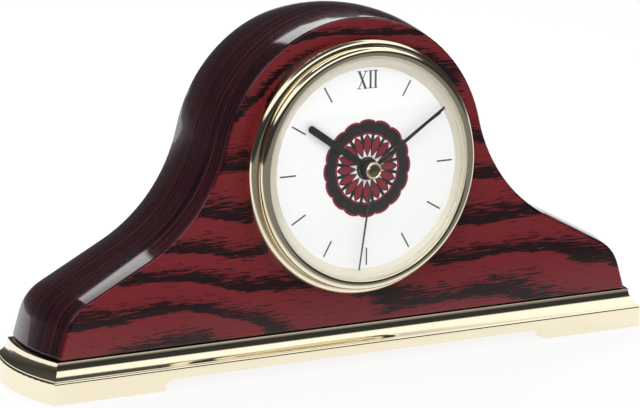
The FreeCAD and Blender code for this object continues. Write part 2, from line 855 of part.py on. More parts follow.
def make_bezel_ring():
    # Two beads with a groove between them, a tube that goes over the can and a lip on the lens.
    outer = size("bezel_radius")
    outer_shoulder = outer - size("outer_bead_run")
    outer_side = case_front - size("outer_bead_height")
    outer_crest = outer_side - size("outer_bead_rise")
    groove_inner = outer_shoulder - size("groove_width")
    groove_floor = outer_crest + size("groove_depth")
    inner_side = groove_floor - size("inner_bead_wall")
    inner_crest = inner_side - size("inner_bead_radius")
    crest_place = groove_inner - size("inner_bead_radius")
    lip_front = lens_front - size("lip_thickness")
    hollow_floor = case_front - size("bezel_hollow")
    tube = pocket_radius + size("tube_wall")
    flank_run = crest_place - lip_radius
    flank_rise = lip_front - inner_crest
    corners = [
        (pocket_radius, case_front),
        (pocket_radius, lens_front),
        (lip_radius, lens_front),
        (lip_radius, lip_front),
        (crest_place, inner_crest),
        (groove_inner, inner_side),
        (groove_inner, groove_floor),
        (outer_shoulder, groove_floor),
        (outer_shoulder, outer_crest),
        (outer, outer_side),
        (outer, case_front),
        (outer - size("bezel_wall"), case_front),
        (outer - size("bezel_wall"), hollow_floor),
        (tube, hollow_floor),
        (tube, case_front),
    ]
    arcs = {
        3: (crest_radius(flank_run, flank_rise), 1),
        4: (size("inner_bead_radius"), 1),
        8: (crest_radius(size("outer_bead_rise"), size("outer_bead_run")), 1),
    }
    return turned("bezel_ring", corners, arcs)


def make_lens():
    # Flat rim under the bezel's lip, a short shoulder and a shallow dome of even thickness.
    rim = stack_radius - size("lens_rim")
    shoulder = rim - size("lens_shoulder")
    thickness = size("lens_thickness")
    shoulder_rise = size("lens_shoulder_rise")
    dome_rise = size("lens_rise") - shoulder_rise
    shoulder_front = lens_front - shoulder_rise
    apex = shoulder_front - dome_rise
    dome = crest_radius(shoulder, dome_rise)
    corners = [
        (ZERO, apex),
        (ZERO, apex + thickness),
        (shoulder, shoulder_front + thickness),
        (rim, ring_front),
        (stack_radius, ring_front),
        (stack_radius, lens_front),
        (rim, lens_front),
        (shoulder, shoulder_front),
    ]
    arcs = {1: (dome, 1, True), 7: (dome, -1, True)}
    return turned("lens", corners, arcs)


def make_reflector_ring():
    opening = size("dial_opening")
    lip = stack_radius - size("ring_lip")
    corners = [
        (opening, dial_front),
        (stack_radius, dial_front),
        (stack_radius, ring_front),
        (lip, ring_front),
    ]
    return turned("reflector_ring", corners)


def make_dial_plate():
    hole = size("bush_radius") + size("bush_play")
    corners = box_corners(hole, stack_radius, dial_front, dial_back)
    return turned("dial_plate", corners)


def make_insert_can():
    outer = size("can_radius")
    inner = outer - size("can_wall")
    floor = can_back - size("can_wall")
    corners = [
        (ZERO, floor),
        (inner, floor),
        (inner, dial_back),
        (outer, dial_back),
        (outer, can_back),
        (ZERO, can_back),
    ]
    body = turned("insert_can", corners)
    half = size("window_width") / 2
    corner = size("move_corner")
    corners, arcs = rounded_corners(-half, half, -half, half, corner)
    recess(body, "can_window", floor - end_shake, can_back + end_shake,
           lambda sketch: draw_outline(sketch, corners, arcs))
    return body


def make_grip_band():
    inner = size("can_radius") + size("band_play")
    skin = inner + size("band_thickness")
    outer = size("bore_radius") - size("can_play") / 2
    front = case_front + size("band_setback")
    back = front + size("band_width")
    body = turned("grip_band", box_corners(inner, skin, front, back))
    rib = new_sketch(body, "grip_rib_section", "XY")
    sunk = inner + size("band_thickness") / 2
    draw_outline(rib, box_corners(sunk, outer, front, front + size("rib_width")))
    first = revolve(body, "grip_rib", rib)
    doc.recompute()
    ribs = body.newObject("PartDesign::LinearPattern", "grip_ribs")
    ribs.Originals = [first]
    ribs.Direction = (rib, ["V_Axis"])
    bind(ribs, "Length", size("band_width") - size("rib_width"))
    bind(ribs, "Occurrences", size("rib_count"))
    body.Tip = ribs
    return body


def make_movement_front_housing():
    body = new_body("movement_front_housing")
    lift_to_dial(body)
    half = move_half
    wall = size("move_wall")
    corner = size("move_corner")
    outer, outer_arcs = rounded_corners(-half, half, -half, half, corner)
    room = half - wall
    inner, inner_arcs = rounded_corners(-room, room, -room, room, corner - wall)
    slab(body, "front_shell", move_front, cover_front,
         lambda sketch: draw_outline(sketch, outer, outer_arcs))
    recess(body, "front_room", plate_back, cover_front + end_shake,
           lambda sketch: draw_outline(sketch, inner, inner_arcs))
    slab(body, "centre_bush", dial_front - size("bush_rise"), plate_back,
         lambda sketch: draw_circle(sketch, ZERO, ZERO, size("bush_radius")))

    def draw_posts(sketch):
        for x, z in post_axes:
            draw_circle(sketch, x, z, size("post_radius"))

    slab(body, "bridge_posts", plate_back - end_shake, bridge_front, draw_posts)
    stud_back = minute_wheel_front + motion_width + end_shake
    slab(body, "minute_wheel_stud", plate_back - end_shake, stud_back,
         lambda sketch: draw_circle(sketch, minute_axis[0], minute_axis[1], size("stud_radius")))
    recess(body, "bush_bore", dial_front - size("bush_rise") - end_shake, plate_back + end_shake,
           lambda sketch: draw_circle(sketch, ZERO, ZERO, bush_bore))

    def draw_pivots(sketch):
        for x, z in (setting_axis, third_axis):
            draw_circle(sketch, x, z, pivot_hole)

    recess(body, "front_pivot_holes", move_front - end_shake, plate_back + end_shake, draw_pivots)

    def draw_screw_holes(sketch):
        for x, z in post_axes:
            draw_circle(sketch, x, z, size("bridge_screw_radius") + size("thread_play"))

    recess(body, "post_screw_holes", plate_back, bridge_front + end_shake, draw_screw_holes)
    return body


def make_movement_rear_housing():
    body = new_body("movement_rear_housing")
    lift_to_dial(body)
    half = move_half
    corner = size("move_corner")
    outer, outer_arcs = rounded_corners(-half, half, -half, half, corner)
    slab(body, "rear_plate", cover_front, move_back,
         lambda sketch: draw_outline(sketch, outer, outer_arcs))
    room = half - size("move_wall") - end_shake
    play = size("cell_play")
    bay_top = size("cell_radius") + play - size("cell_drop")
    bay_bottom = -size("cell_drop") - size("cell_radius") - play
    shelf = box_corners(-room, room, bay_top, bay_top + size("bay_wall"))
    slab(body, "bay_shelf", plate_back + end_shake, move_back,
         lambda sketch: draw_outline(sketch, shelf))

    def draw_board_posts(sketch):
        x = -(size("board_left") + size("board_right")) / 2
        for z in (-size("board_foot") / 2, size("board_head") - size("board_post_inset")):
            draw_circle(sketch, x, z, size("board_post_radius"))

    slab(body, "board_posts", board_back, move_back, draw_board_posts)
    bay = box_corners(-bay_half, bay_half, bay_bottom, bay_top)
    recess(body, "cell_opening", cover_front - end_shake, move_back + end_shake,
           lambda sketch: draw_outline(sketch, bay))

    def draw_pivots(sketch):
        for x, z in (centre_axis, third_axis, intermediate_axis, rotor_axis):
            draw_circle(sketch, x, z, pivot_hole)
        x, z = setting_axis
        draw_circle(sketch, x, z, size("setting_arbor_radius") + size("pivot_play"))

    recess(body, "rear_pivot_holes", cover_front - end_shake, move_back + end_shake, draw_pivots)
    return body


def make_gear_bridge():
    body = new_body("gear_bridge")
    lift_to_dial(body)
    corners, arcs = rounded_corners(
        -size("bridge_left"), size("bridge_right"),
        -size("bridge_foot"), size("bridge_head"), size("bridge_corner"),
    )
    slab(body, "bridge_plate", bridge_front, bridge_back,
         lambda sketch: draw_outline(sketch, corners, arcs))

    def draw_holes(sketch):
        draw_circle(sketch, ZERO, ZERO, second_arbor_radius + size("pivot_play"))
        for x, z in (intermediate_axis, rotor_axis):
            draw_circle(sketch, x, z, pivot_hole)
        draw_circle(sketch, third_axis[0], third_axis[1], size("arbor_radius") + size("pass_play"))
        passing = size("setting_arbor_radius") + size("pass_play")
        draw_circle(sketch, setting_axis[0], setting_axis[1], passing)
        for x, z in post_axes:
            draw_circle(sketch, x, z, size("bridge_screw_radius") + size("thread_play"))

    recess(body, "bridge_holes", bridge_front - end_shake, bridge_back + end_shake, draw_holes)
    return body


def make_bridge_screws():
    body = new_body("bridge_screws")
    body.AllowCompound = True
    lift_to_dial(body)

    def draw_round(radius):
        def draw(sketch):
            for x, z in post_axes:
                draw_circle(sketch, x, z, radius)
        return draw

    slab(body, "bridge_screw_heads", bridge_back, bridge_back + size("bridge_screw_cap"),
         draw_round(size("bridge_screw_head")))
    slab(body, "bridge_screw_shanks", plate_back + end_shake, bridge_back,
         draw_round(size("bridge_screw_radius")))
    return body


# Gear wheels. A tooth has straight root and tip lands, and flanks that follow the involute.

def involute(angle):
    return math.tan(angle) - angle


def tooth_half_angle(radius, teeth, module):
    # Half the angle that a tooth fills at a radius, thinned by its share of the backlash.
    pitch = module * teeth / 2
    pressure = math.radians(float(size("pressure_angle")))
    base = pitch * math.cos(pressure)
    width = math.pi / 2 - float(size("backlash_share"))
    here = math.acos(min(1.0, base / max(radius, base)))
    return width / teeth + involute(pressure) - involute(here)


def gear_face_points(teeth, module, turn, steps):
    # Corners of a wheel's outline, as (x, z), with a tooth's middle at the angle turn.
    pitch = module * teeth / 2
    tip = pitch + module * float(size("addendum_share"))
    foot = pitch - module * float(size("dedendum_share"))
    radii = [foot + (tip - foot) * step / steps for step in range(steps + 1)]
    points = []
    for tooth in range(teeth):
        middle = turn + 2 * math.pi * tooth / teeth
        rising = [(r, middle - tooth_half_angle(r, teeth, module)) for r in radii]
        falling = [(r, middle + tooth_half_angle(r, teeth, module)) for r in radii[::-1]]
        points += [(r * math.cos(a), r * math.sin(a)) for r, a in rising + falling]
    return points


def gear_solid(teeth, module, turn, front, back, steps=1):
    corners = gear_face_points(int(float(teeth)), float(module), turn, steps)
    spots = [FreeCAD.Vector(x, float(front), z) for x, z in corners]
    wire = Part.makePolygon(spots + [spots[0]])
    return Part.Face(wire).extrude(FreeCAD.Vector(0, float(back) - float(front), 0))


def rod(radius, front, back):
    start = FreeCAD.Vector(0, float(front), 0)
    return Part.makeCylinder(float(radius), float(back) - float(front), start, FreeCAD.Vector(0, 1, 0))


def add_wheel(name, solids, holes, axis):
    # One wheel with its arbor or pipe, set on its axis.
    shape = solids[0].fuse(solids[1:])
    if holes:
        shape = shape.cut(holes)
    shape = shape.removeSplitter()
    feature = doc.addObject("Part::Feature", name)
    feature.Label = name
    feature.Shape = shape.Solids[0] if len(shape.Solids) == 1 else shape
    bind(feature, "Placement.Base.x", axis[0])
    bind(feature, "Placement.Base.z", dial_height + axis[1])
    return feature


def mesh_turn(first_teeth, first_turn, second_teeth, bearing):
    # Angle of the second wheel that puts its gap where the first wheel's tooth stands.
    tooth = (bearing - first_turn) * first_teeth / (2 * math.pi)
    ahead = tooth - math.floor(tooth)
    return bearing + math.pi + (ahead + 0.5) * 2 * math.pi / second_teeth


def whole(name):
    return int(float(size(name)))


def pivoted(radius, front, back, front_end, back_end):
    # Arbor between two shoulders, with a thinner pivot at each end.
    pivot = size("pivot_radius")
    solids = [rod(radius, front, back)]
    if front_end is not None:
        solids.append(rod(pivot, front_end, front))
    if back_end is not None:
        solids.append(rod(pivot, back, back_end))
    return solids


def make_wheels():
    relief = size("pivot_relief")
    front_end = move_front + relief
    front_shoulder = plate_back + end_shake
    back_shoulder = cover_front - end_shake
    back_end = move_back - relief
    arbor = size("arbor_radius")
    bearing_third = math.radians(float(size("third_bearing")))
    bearing_middle = math.radians(float(size("intermediate_bearing")))
    bearing_rotor = math.radians(float(size("rotor_bearing")))

    # Motion work: minute pipe and pinion, minute wheel, hour wheel and setting shaft
    minute_pinion = whole("minute_pinion_teeth")
    minute_back = minute_wheel_front + motion_width
    minute_turn = 0.0
    flange_front = centre_wheel_front + wheel_width + end_shake / 2
    flange_back = bridge_front - end_shake
    pipe_front = minute_hand_front - size("pipe_collar")
    add_wheel(
        "minute_arbor",
        [
            gear_solid(minute_pinion, motion_module, minute_turn, minute_wheel_front, minute_back, 2),
            rod(minute_pipe_radius, pipe_front, flange_back),
            rod(minute_pipe_radius + gap * 2, flange_front, flange_back),
        ],
        [rod(minute_bore, pipe_front - end_shake, flange_back + end_shake)],
        centre_axis,
    )
    minute_teeth = whole("minute_teeth")
    wheel_turn = mesh_turn(minute_pinion, minute_turn, minute_teeth, 0.0)
    hour_pinion = whole("hour_pinion_teeth")
    add_wheel(
        "minute_wheel",
        [
            gear_solid(minute_teeth, motion_module, wheel_turn, minute_wheel_front, minute_back),
            gear_solid(hour_pinion, hour_module, 0.0, hour_wheel_front, minute_wheel_front, 2),
        ],
        [
            rod(
                size("stud_radius") + size("pivot_play"),
                hour_wheel_front - end_shake,
                minute_back + end_shake,
            ),
        ],
        minute_axis,
    )
    hour_teeth = whole("hour_teeth")
    hour_turn = mesh_turn(hour_pinion, 0.0, hour_teeth, math.pi)
    hour_back = hour_wheel_front + motion_width
    hour_pipe_front = hour_hand_front - size("pipe_collar")
    add_wheel(
        "hour_wheel",
        [
            gear_solid(hour_teeth, hour_module, hour_turn, hour_wheel_front, hour_back),
            rod(hour_pipe_radius, hour_pipe_front, hour_back),
        ],
        [rod(hour_bore, hour_pipe_front - end_shake, hour_back + end_shake)],
        centre_axis,
    )
    setting_teeth = whole("setting_teeth")
    setting_turn = mesh_turn(minute_teeth, wheel_turn, setting_teeth, 0.0)
    setting_radius = size("setting_arbor_radius")
    add_wheel(
        "setting_pinion",
        [
            gear_solid(
                setting_teeth, motion_module, setting_turn, minute_wheel_front, minute_back, 2
            ),
        ] + pivoted(setting_radius, front_shoulder, knob_back() - relief, front_end, None),
        [],
        setting_axis,
    )

    # Going train: centre wheel, third wheel, second wheel, intermediate wheel and rotor
    centre_teeth = whole("centre_teeth")
    centre_back = centre_wheel_front + wheel_width
    add_wheel(
        "centre_wheel",
        [gear_solid(centre_teeth, train_module, bearing_third, centre_wheel_front, centre_back)],
        [
            rod(
                minute_pipe_radius + size("pivot_play"),
                centre_wheel_front - end_shake,
                centre_back + end_shake,
            ),
        ],
        centre_axis,
    )
    third_pinion = whole("third_pinion_teeth")
    third_turn = mesh_turn(centre_teeth, bearing_third, third_pinion, bearing_third)
    third_teeth = whole("third_teeth")
    pinion_front = centre_wheel_front - end_shake
    add_wheel(
        "third_wheel",
        [
            gear_solid(
                third_pinion, train_module, third_turn, pinion_front, bridge_front - end_shake, 2
            ),
            gear_solid(
                third_teeth, third_module, bearing_third,
                third_wheel_front, third_wheel_front + wheel_width,
            ),
        ] + pivoted(arbor, front_shoulder, back_shoulder, front_end, back_end),
        [],
        third_axis,
    )
    second_pinion = whole("second_pinion_teeth")
    second_turn = mesh_turn(third_teeth, bearing_third, second_pinion, bearing_third + math.pi)
    second_teeth = whole("second_teeth")
    add_wheel(
        "second_wheel",
        [
            gear_solid(
                second_pinion, third_module, second_turn,
                third_wheel_front - end_shake, second_wheel_front, 2,
            ),
            gear_solid(
                second_teeth, train_module, bearing_middle,
                second_wheel_front, second_wheel_front + wheel_width,
            ),
        ] + pivoted(
            second_arbor_radius, second_hand_front - size("cap_height") / 2,
            back_shoulder, None, back_end,
        ),
        [],
        centre_axis,
    )
    middle_pinion = whole("intermediate_pinion_teeth")
    middle_turn = mesh_turn(second_teeth, bearing_middle, middle_pinion, bearing_middle)
    middle_teeth = whole("intermediate_teeth")
    bridge_end = bridge_front + end_shake
    bridge_shoulder = bridge_back + end_shake
    add_wheel(
        "intermediate_wheel",
        [
            gear_solid(
                middle_pinion, train_module, middle_turn,
                second_wheel_front - end_shake, intermediate_wheel_front, 2,
            ),
            gear_solid(
                middle_teeth, train_module, bearing_rotor,
                intermediate_wheel_front, intermediate_wheel_front + wheel_width,
            ),
        ] + pivoted(arbor, bridge_shoulder, back_shoulder, bridge_end, back_end),
        [],
        intermediate_axis,
    )
    rotor_teeth = whole("rotor_teeth")
    rotor_turn = mesh_turn(middle_teeth, bearing_rotor, rotor_teeth, bearing_rotor)
    add_wheel(
        "rotor_pinion",
        [
            gear_solid(
                rotor_teeth, train_module, rotor_turn,
                intermediate_wheel_front - end_shake, magnet_front - end_shake, 2,
            ),
        ] + pivoted(arbor, bridge_shoulder, back_shoulder, bridge_end, back_end),
        [],
        rotor_axis,
    )


def make_rotor_magnet():
    body = new_body("rotor_magnet")
    bind(body, "Placement.Base.x", rotor_axis[0])
    bind(body, "Placement.Base.z", dial_height + rotor_axis[1])

    def draw(sketch):
        draw_circle(sketch, ZERO, ZERO, size("magnet_radius"))
        draw_circle(sketch, ZERO, ZERO, size("arbor_radius") + size("hand_play"))

    slab(body, "magnet_disc", magnet_front, magnet_front + size("magnet_width"), draw)
    return body


def make_clutch_spring():
    body = new_body("clutch_spring")
    lift_to_dial(body)
    back = centre_wheel_front - end_shake / 2

    def draw(sketch):
        draw_circle(sketch, ZERO, ZERO, size("clutch_radius"))
        draw_circle(sketch, ZERO, ZERO, minute_pipe_radius + size("hand_play"))

    slab(body, "clutch_washer", back - size("clutch_thickness"), back, draw)
    return body


def make_stator_plate():
    body = new_body("stator_plate")
    lift_to_dial(body)
    hole = size("magnet_radius") + size("stator_gap")
    margin = size("stator_margin")
    x, z = rotor_axis
    left = x - hole - margin
    right = size("core_right")
    low = z - hole - margin
    high = size("coil_rise") + size("core_width")
    yoke_top = size("coil_rise") - size("bobbin_flange_radius") - size("winding_play") * 6
    yoke_low = yoke_top - size("yoke_width")
    leg = size("leg_width")
    corners = [
        (-size("core_left"), yoke_low),
        (left, yoke_low),
        (left, low),
        (right, low),
        (right, high),
        (right - leg, high),
        (right - leg, yoke_top),
        (leg - size("core_left"), yoke_top),
        (leg - size("core_left"), high),
        (-size("core_left"), high),
    ]

    def draw(sketch):
        draw_outline(sketch, corners)
        draw_circle(sketch, x, z, hole)

    slab(body, "stator_sheet", stator_front, core_front, draw)
    return body


def add_box(name, left, front, low, width, depth, tall):
    box = doc.addObject("Part::Box", name)
    box.Label = name
    bind(box, "Length", width)
    bind(box, "Width", depth)
    bind(box, "Height", tall)
    bind(box, "Placement.Base.x", left)
    bind(box, "Placement.Base.y", front)
    bind(box, "Placement.Base.z", dial_height + low)
    return box


def spool(name, corners):
    # Piece turned about the coil's axis, which runs along X.
    body = new_body(name)
    sketch = new_sketch(body, name + "_section", "XZ")
    draw_outline(sketch, corners)
    revolve(body, name + "_turning", sketch, "H_Axis")
    bind(body, "Placement.Base.y", core_front + size("stator_thickness") / 2)
    bind(body, "Placement.Base.z", dial_height + size("coil_rise"))
    return body


def make_coil():
    thick = size("stator_thickness")
    wide = size("core_width")
    left = -size("core_left")
    right = size("core_right")
    add_box("coil_core", left, core_front, size("coil_rise") - wide / 2, right - left, thick, wide)
    bore = root(thick * thick + wide * wide) / 2 + size("core_play")
    drum = bore + size("bobbin_wall")
    flange = size("bobbin_flange")
    start = left + size("leg_width") + size("coil_end_gap")
    end = right - size("leg_width") - size("coil_end_gap")
    rim = size("bobbin_flange_radius")
    spool("coil_bobbin", [
        (start, bore),
        (end, bore),
        (end, rim),
        (end - flange, rim),
        (end - flange, drum),
        (start + flange, drum),
        (start + flange, rim),
        (start, rim),
    ])
    play = size("winding_play")
    first = start + flange + play
    last = end - flange - play
    spool("coil_winding", box_corners(first, last, drum + play, size("winding_radius")))


def make_circuit_board():
    left = -size("board_left")
    low = -size("board_foot")
    front = board_back - size("board_thickness")
    width = size("board_left") - size("board_right")
    tall = size("board_foot") + size("board_head")
    add_box("circuit_board", left, front, low, width, size("board_thickness"), tall)
    crystal = doc.addObject("Part::Cylinder", "quartz_crystal")
    crystal.Label = "quartz_crystal"
    bind(crystal, "Radius", size("crystal_radius"))
    bind(crystal, "Height", size("crystal_length"))
    bind(crystal, "Placement.Base.x", -(size("board_left") + size("board_right")) / 2)
    bind(crystal, "Placement.Base.y", front - size("crystal_radius"))
    bind(crystal, "Placement.Base.z", dial_height + size("crystal_length"))


def cell_depth():
    return move_back - size("move_wall") / 3 - size("cell_radius")


def make_battery_cell():
    body = new_body("battery_cell")
    half = size("cell_length") / 2
    shoulder = half - size("cell_button")
    radius = size("cell_radius")
    edge = size("cell_edge")
    button = size("cell_button_radius")
    sketch = new_sketch(body, "cell_section", "XZ")
    corners = [
        (-half, ZERO),
        (half, ZERO),
        (half, button),
        (shoulder, button),
        (shoulder, radius - edge),
        (shoulder - edge, radius),
        (edge - half, radius),
        (-half, radius - edge),
    ]
    draw_outline(sketch, corners)
    revolve(body, "cell_turning", sketch, "H_Axis")
    bind(body, "Placement.Base.y", cell_depth())
    bind(body, "Placement.Base.z", dial_height - size("cell_drop"))


def make_battery_contacts():
    # Flat tab at the button's end and a bowed leaf at the other end of the cell.
    thick = size("contact_thickness")
    wide = size("contact_width")
    half = size("cell_length") / 2
    play = size("contact_play")
    wall = move_half - size("move_wall") - play
    depth = cell_depth()
    low = -size("cell_drop") - wide / 2
    front = depth - wide / 2
    add_box("battery_contact_positive", half + play, front, low, thick, wide, wide)
    body = new_body("battery_contact_negative")
    sketch = new_sketch(body, "leaf_outline", "XY", low)
    near = -half - play
    tall = wide / 2
    foot = size("leaf_foot")
    crest = size("leaf_crest")
    corners = [
        (-wall, front),
        (-wall + thick, front),
        (-wall + thick, depth - foot),
        (near - thick, depth - crest),
        (near, depth - crest),
        (near, depth + crest),
        (near - thick, depth + crest),
        (-wall + thick, depth + foot),
        (-wall + thick, depth + tall),
        (-wall, depth + tall),
    ]
    draw_outline(sketch, corners)
    pad(body, "leaf_strip", sketch, wide)
    lift_to_dial(body)


def knob_back():
    return move_back + size("knob_gap") + size("knob_height")


def make_setting_knob():
    body = new_body("setting_knob")
    front = move_back + size("knob_gap")
    bind(body, "Placement.Base.x", setting_axis[0])
    lift_to_dial(body)
    radius = size("knob_radius")
    slab(body, "knob_disc", front, knob_back(),
         lambda sketch: draw_circle(sketch, ZERO, ZERO, radius))
    recess(body, "knob_bore", front - end_shake, knob_back() - end_shake,
           lambda sketch: draw_circle(
               sketch, ZERO, ZERO, size("setting_arbor_radius") + size("hand_play")))
    flute = recess(body, "knob_flute", front - end_shake, knob_back() + end_shake,
                   lambda sketch: draw_circle(sketch, radius, ZERO, size("flute_radius")))
    doc.recompute()
    flutes = body.newObject("PartDesign::PolarPattern", "knob_flutes_round")
    flutes.Originals = [flute]
    axis = [item for item in body.Origin.OriginFeatures if item.Role == "Y_Axis"][0]
    flutes.Axis = (axis, [""])
    flutes.Angle = 360
    bind(flutes, "Occurrences", size("knob_flutes"))
    body.Tip = flutes


def turn_hand(body, angle):
    body.Placement = FreeCAD.Placement(
        FreeCAD.Vector(0, 0, float(dial_height)),
        FreeCAD.Rotation(FreeCAD.Vector(0, 1, 0), float(angle)),
    )
    lift_to_dial(body)
    bind(body, "Placement.Rotation.Angle", angle)


def make_hour_hand():
    # Straight baton with a round end, a hub disc and a short collar behind it.
    body = new_body("hour_hand")
    half = size("hour_hand_width") / 2
    end = size("hour_hand_length") - half
    corners = [(-half, ZERO), (half, ZERO), (half, end), (-half, end)]
    slab(body, "hour_blade", hour_hand_front, hour_hand_back,
         lambda sketch: draw_outline(sketch, corners))
    slab(body, "hour_tip", hour_hand_front, hour_hand_back,
         lambda sketch: draw_circle(sketch, ZERO, end, half))
    slab(body, "hour_hub", hour_hand_front, hour_hand_back + size("pipe_collar"),
         lambda sketch: draw_circle(sketch, ZERO, ZERO, size("hour_hub_radius")))
    recess(body, "hour_hand_bore", hour_hand_front - end_shake,
           hour_hand_back + size("pipe_collar") + end_shake,
           lambda sketch: draw_circle(sketch, ZERO, ZERO, hour_pipe_radius + size("hand_play")))
    turn_hand(body, size("hour_angle"))


def make_sloping_hand(name, front, thickness, length, root_width, tip_width, drop, hub, bore):
    # Blade that leans towards the dial to its tip, so that it stays under the domed glass.
    body = new_body(name)
    back = front + thickness
    reach = root_width * 2
    side = new_sketch(body, name + "_side", "YZ", -root_width)
    corners = [
        (front, ZERO),
        (back, ZERO),
        (back, hub),
        (back + drop, length),
        (front + drop, length),
        (front, hub),
    ]
    draw_outline(side, corners)
    pad(body, name + "_strip", side, reach)
    # The strip is narrowed on both sides to its tapering blade.
    for way, word in ((1, "right"), (-1, "left")):
        corners = [
            (root_width / 2 * way, -root_width),
            (root_width * 2 * way, -root_width),
            (root_width * 2 * way, length + root_width),
            (tip_width / 2 * way, length + root_width),
            (tip_width / 2 * way, length),
            (root_width / 2 * way, hub),
        ]
        recess(body, "%s_%s_taper" % (name, word), front - drop, back + drop * 2,
               lambda sketch: draw_outline(sketch, corners))
    slab(body, name + "_hub", front, back,
         lambda sketch: draw_circle(sketch, ZERO, ZERO, hub))
    recess(body, name + "_bore", front - end_shake, back + end_shake,
           lambda sketch: draw_circle(sketch, ZERO, ZERO, bore + size("hand_play")))
    return body


def make_minute_hand():
    body = make_sloping_hand(
        "minute_hand", minute_hand_front, size("minute_hand_thickness"),
        size("minute_hand_length"), size("minute_hand_width"), size("minute_tip_width"),
        size("minute_hand_drop"), size("minute_hub_radius"), minute_pipe_radius,
    )
    turn_hand(body, size("minute_angle"))


def make_second_hand():
    body = make_sloping_hand(
        "second_hand", second_hand_front, size("second_hand_thickness"),
        size("second_hand_length"), size("second_hand_width"), size("second_tip_width"),
        size("second_hand_drop"), size("second_hub_radius"), second_arbor_radius,
    )
    turn_hand(body, size("second_angle"))


def make_second_hand_cap():
    radius = size("cap_radius")
    rim = size("cap_rim")
    front = second_hand_front - size("cap_height")
    recess_floor = front + size("cap_recess")
    socket = second_arbor_radius + size("hand_play")
    socket_end = second_hand_front - size("cap_height") / 2 - end_shake / 2
    corners = [
        (ZERO, recess_floor),
        (ZERO, socket_end),
        (socket, socket_end),
        (socket, second_hand_front),
        (radius, second_hand_front),
        (radius, front + rim / 2),
        (radius - rim / 2, front),
        (radius - rim, recess_floor),
    ]
    turned("second_hand_cap", corners, {5: (rim / 2, -1)})


def check_document():
    # Every object has to be up to date, and every cut has to remove something.
    for item in doc.Objects:
        bad = [state for state in item.State if state in ("Invalid", "Error")]
        if bad:
            raise RuntimeError("%s is %s" % (item.Name, bad))
        if item.TypeId in ("PartDesign::Pocket", "PartDesign::Groove"):
            before = item.BaseFeature.Shape.Volume
            if not item.Shape.Volume < before:
                raise RuntimeError("%s removes nothing" % item.Name)


def sub_parts():
    kinds = ("PartDesign::Body", "Part::Feature", "Part::Box", "Part::Cylinder")
    return [item for item in doc.Objects if item.TypeId in kinds]


make_case_body()
make_base_plinth()
make_base_screws()
make_base_felt_pads()
make_bezel_ring()
make_lens()
make_reflector_ring()
make_dial_plate()
make_insert_can()
make_grip_band()
make_movement_front_housing()
make_movement_rear_housing()
make_gear_bridge()
make_bridge_screws()
make_wheels()
make_rotor_magnet()
make_clutch_spring()
make_stator_plate()
make_coil()
make_circuit_board()
make_battery_cell()
make_battery_contacts()
make_setting_knob()
make_hour_hand()
make_minute_hand()
make_second_hand()
make_second_hand_cap()
doc.recompute()
check_document()

os.makedirs("parts", exist_ok=True)
for item in sub_parts():
    if item.Shape.isNull() or not item.Shape.isValid():
        raise RuntimeError("%s has no valid shape" % item.Label)
for item in sub_parts():
    item.Shape.exportStep("parts/%s.step" % item.Label)
    print("%-26s %2d solids %12.2f mm3" % (item.Label, len(item.Shape.Solids), item.Shape.Volume))
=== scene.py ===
import math

import bmesh
import bpy
from mathutils import Matrix, Vector


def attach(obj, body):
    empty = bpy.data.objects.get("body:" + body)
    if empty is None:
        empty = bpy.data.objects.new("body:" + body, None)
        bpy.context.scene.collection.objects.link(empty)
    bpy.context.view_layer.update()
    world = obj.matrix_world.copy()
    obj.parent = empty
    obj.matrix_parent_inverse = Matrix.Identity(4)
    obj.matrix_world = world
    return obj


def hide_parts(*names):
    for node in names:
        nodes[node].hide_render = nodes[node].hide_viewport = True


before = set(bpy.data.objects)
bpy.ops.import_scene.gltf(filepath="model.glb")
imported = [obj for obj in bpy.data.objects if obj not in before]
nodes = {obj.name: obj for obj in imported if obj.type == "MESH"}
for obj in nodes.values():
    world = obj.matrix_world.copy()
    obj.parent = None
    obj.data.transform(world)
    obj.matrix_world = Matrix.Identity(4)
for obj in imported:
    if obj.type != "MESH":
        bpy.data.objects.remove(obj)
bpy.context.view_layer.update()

mm = 0.001
mmPerMetre = 1000.0
dialHeight = 70.4 * mm
meshCare = {
    # distances in metres, angles in degrees, but flatAngle in radians
    "weld": 0.000002, "turnedWeld": 0.0000005, "flatAngle": 0.0005,
    "bevelAngle": 40, "bevelSegments": 2, "normalWeight": 70,
}
print("frame loaded with", len(nodes), "nodes")


# small tools for meshes

def newPiece(name, mesh, body, material, replaced=()):
    piece = bpy.data.objects.new(name, mesh)
    bpy.context.scene.collection.objects.link(piece)
    if len(mesh.materials):
        mesh.materials.clear()
    mesh.materials.append(material)
    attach(piece, body)
    if replaced:
        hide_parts(*replaced)
    return piece


def softenEdges(work, sharpAngle):
    limit = math.radians(sharpAngle)
    for face in work.faces:
        face.smooth = True
    for edge in work.edges:
        edge.smooth = len(edge.link_faces) == 2 and edge.calc_face_angle(0.0) < limit


def evenNormals(piece):
    # broad flat faces keep their own normal beside small curved ones
    weighted = piece.modifiers.new("evenNormals", "WEIGHTED_NORMAL")
    weighted.keep_sharp = True
    weighted.weight = meshCare["normalWeight"]


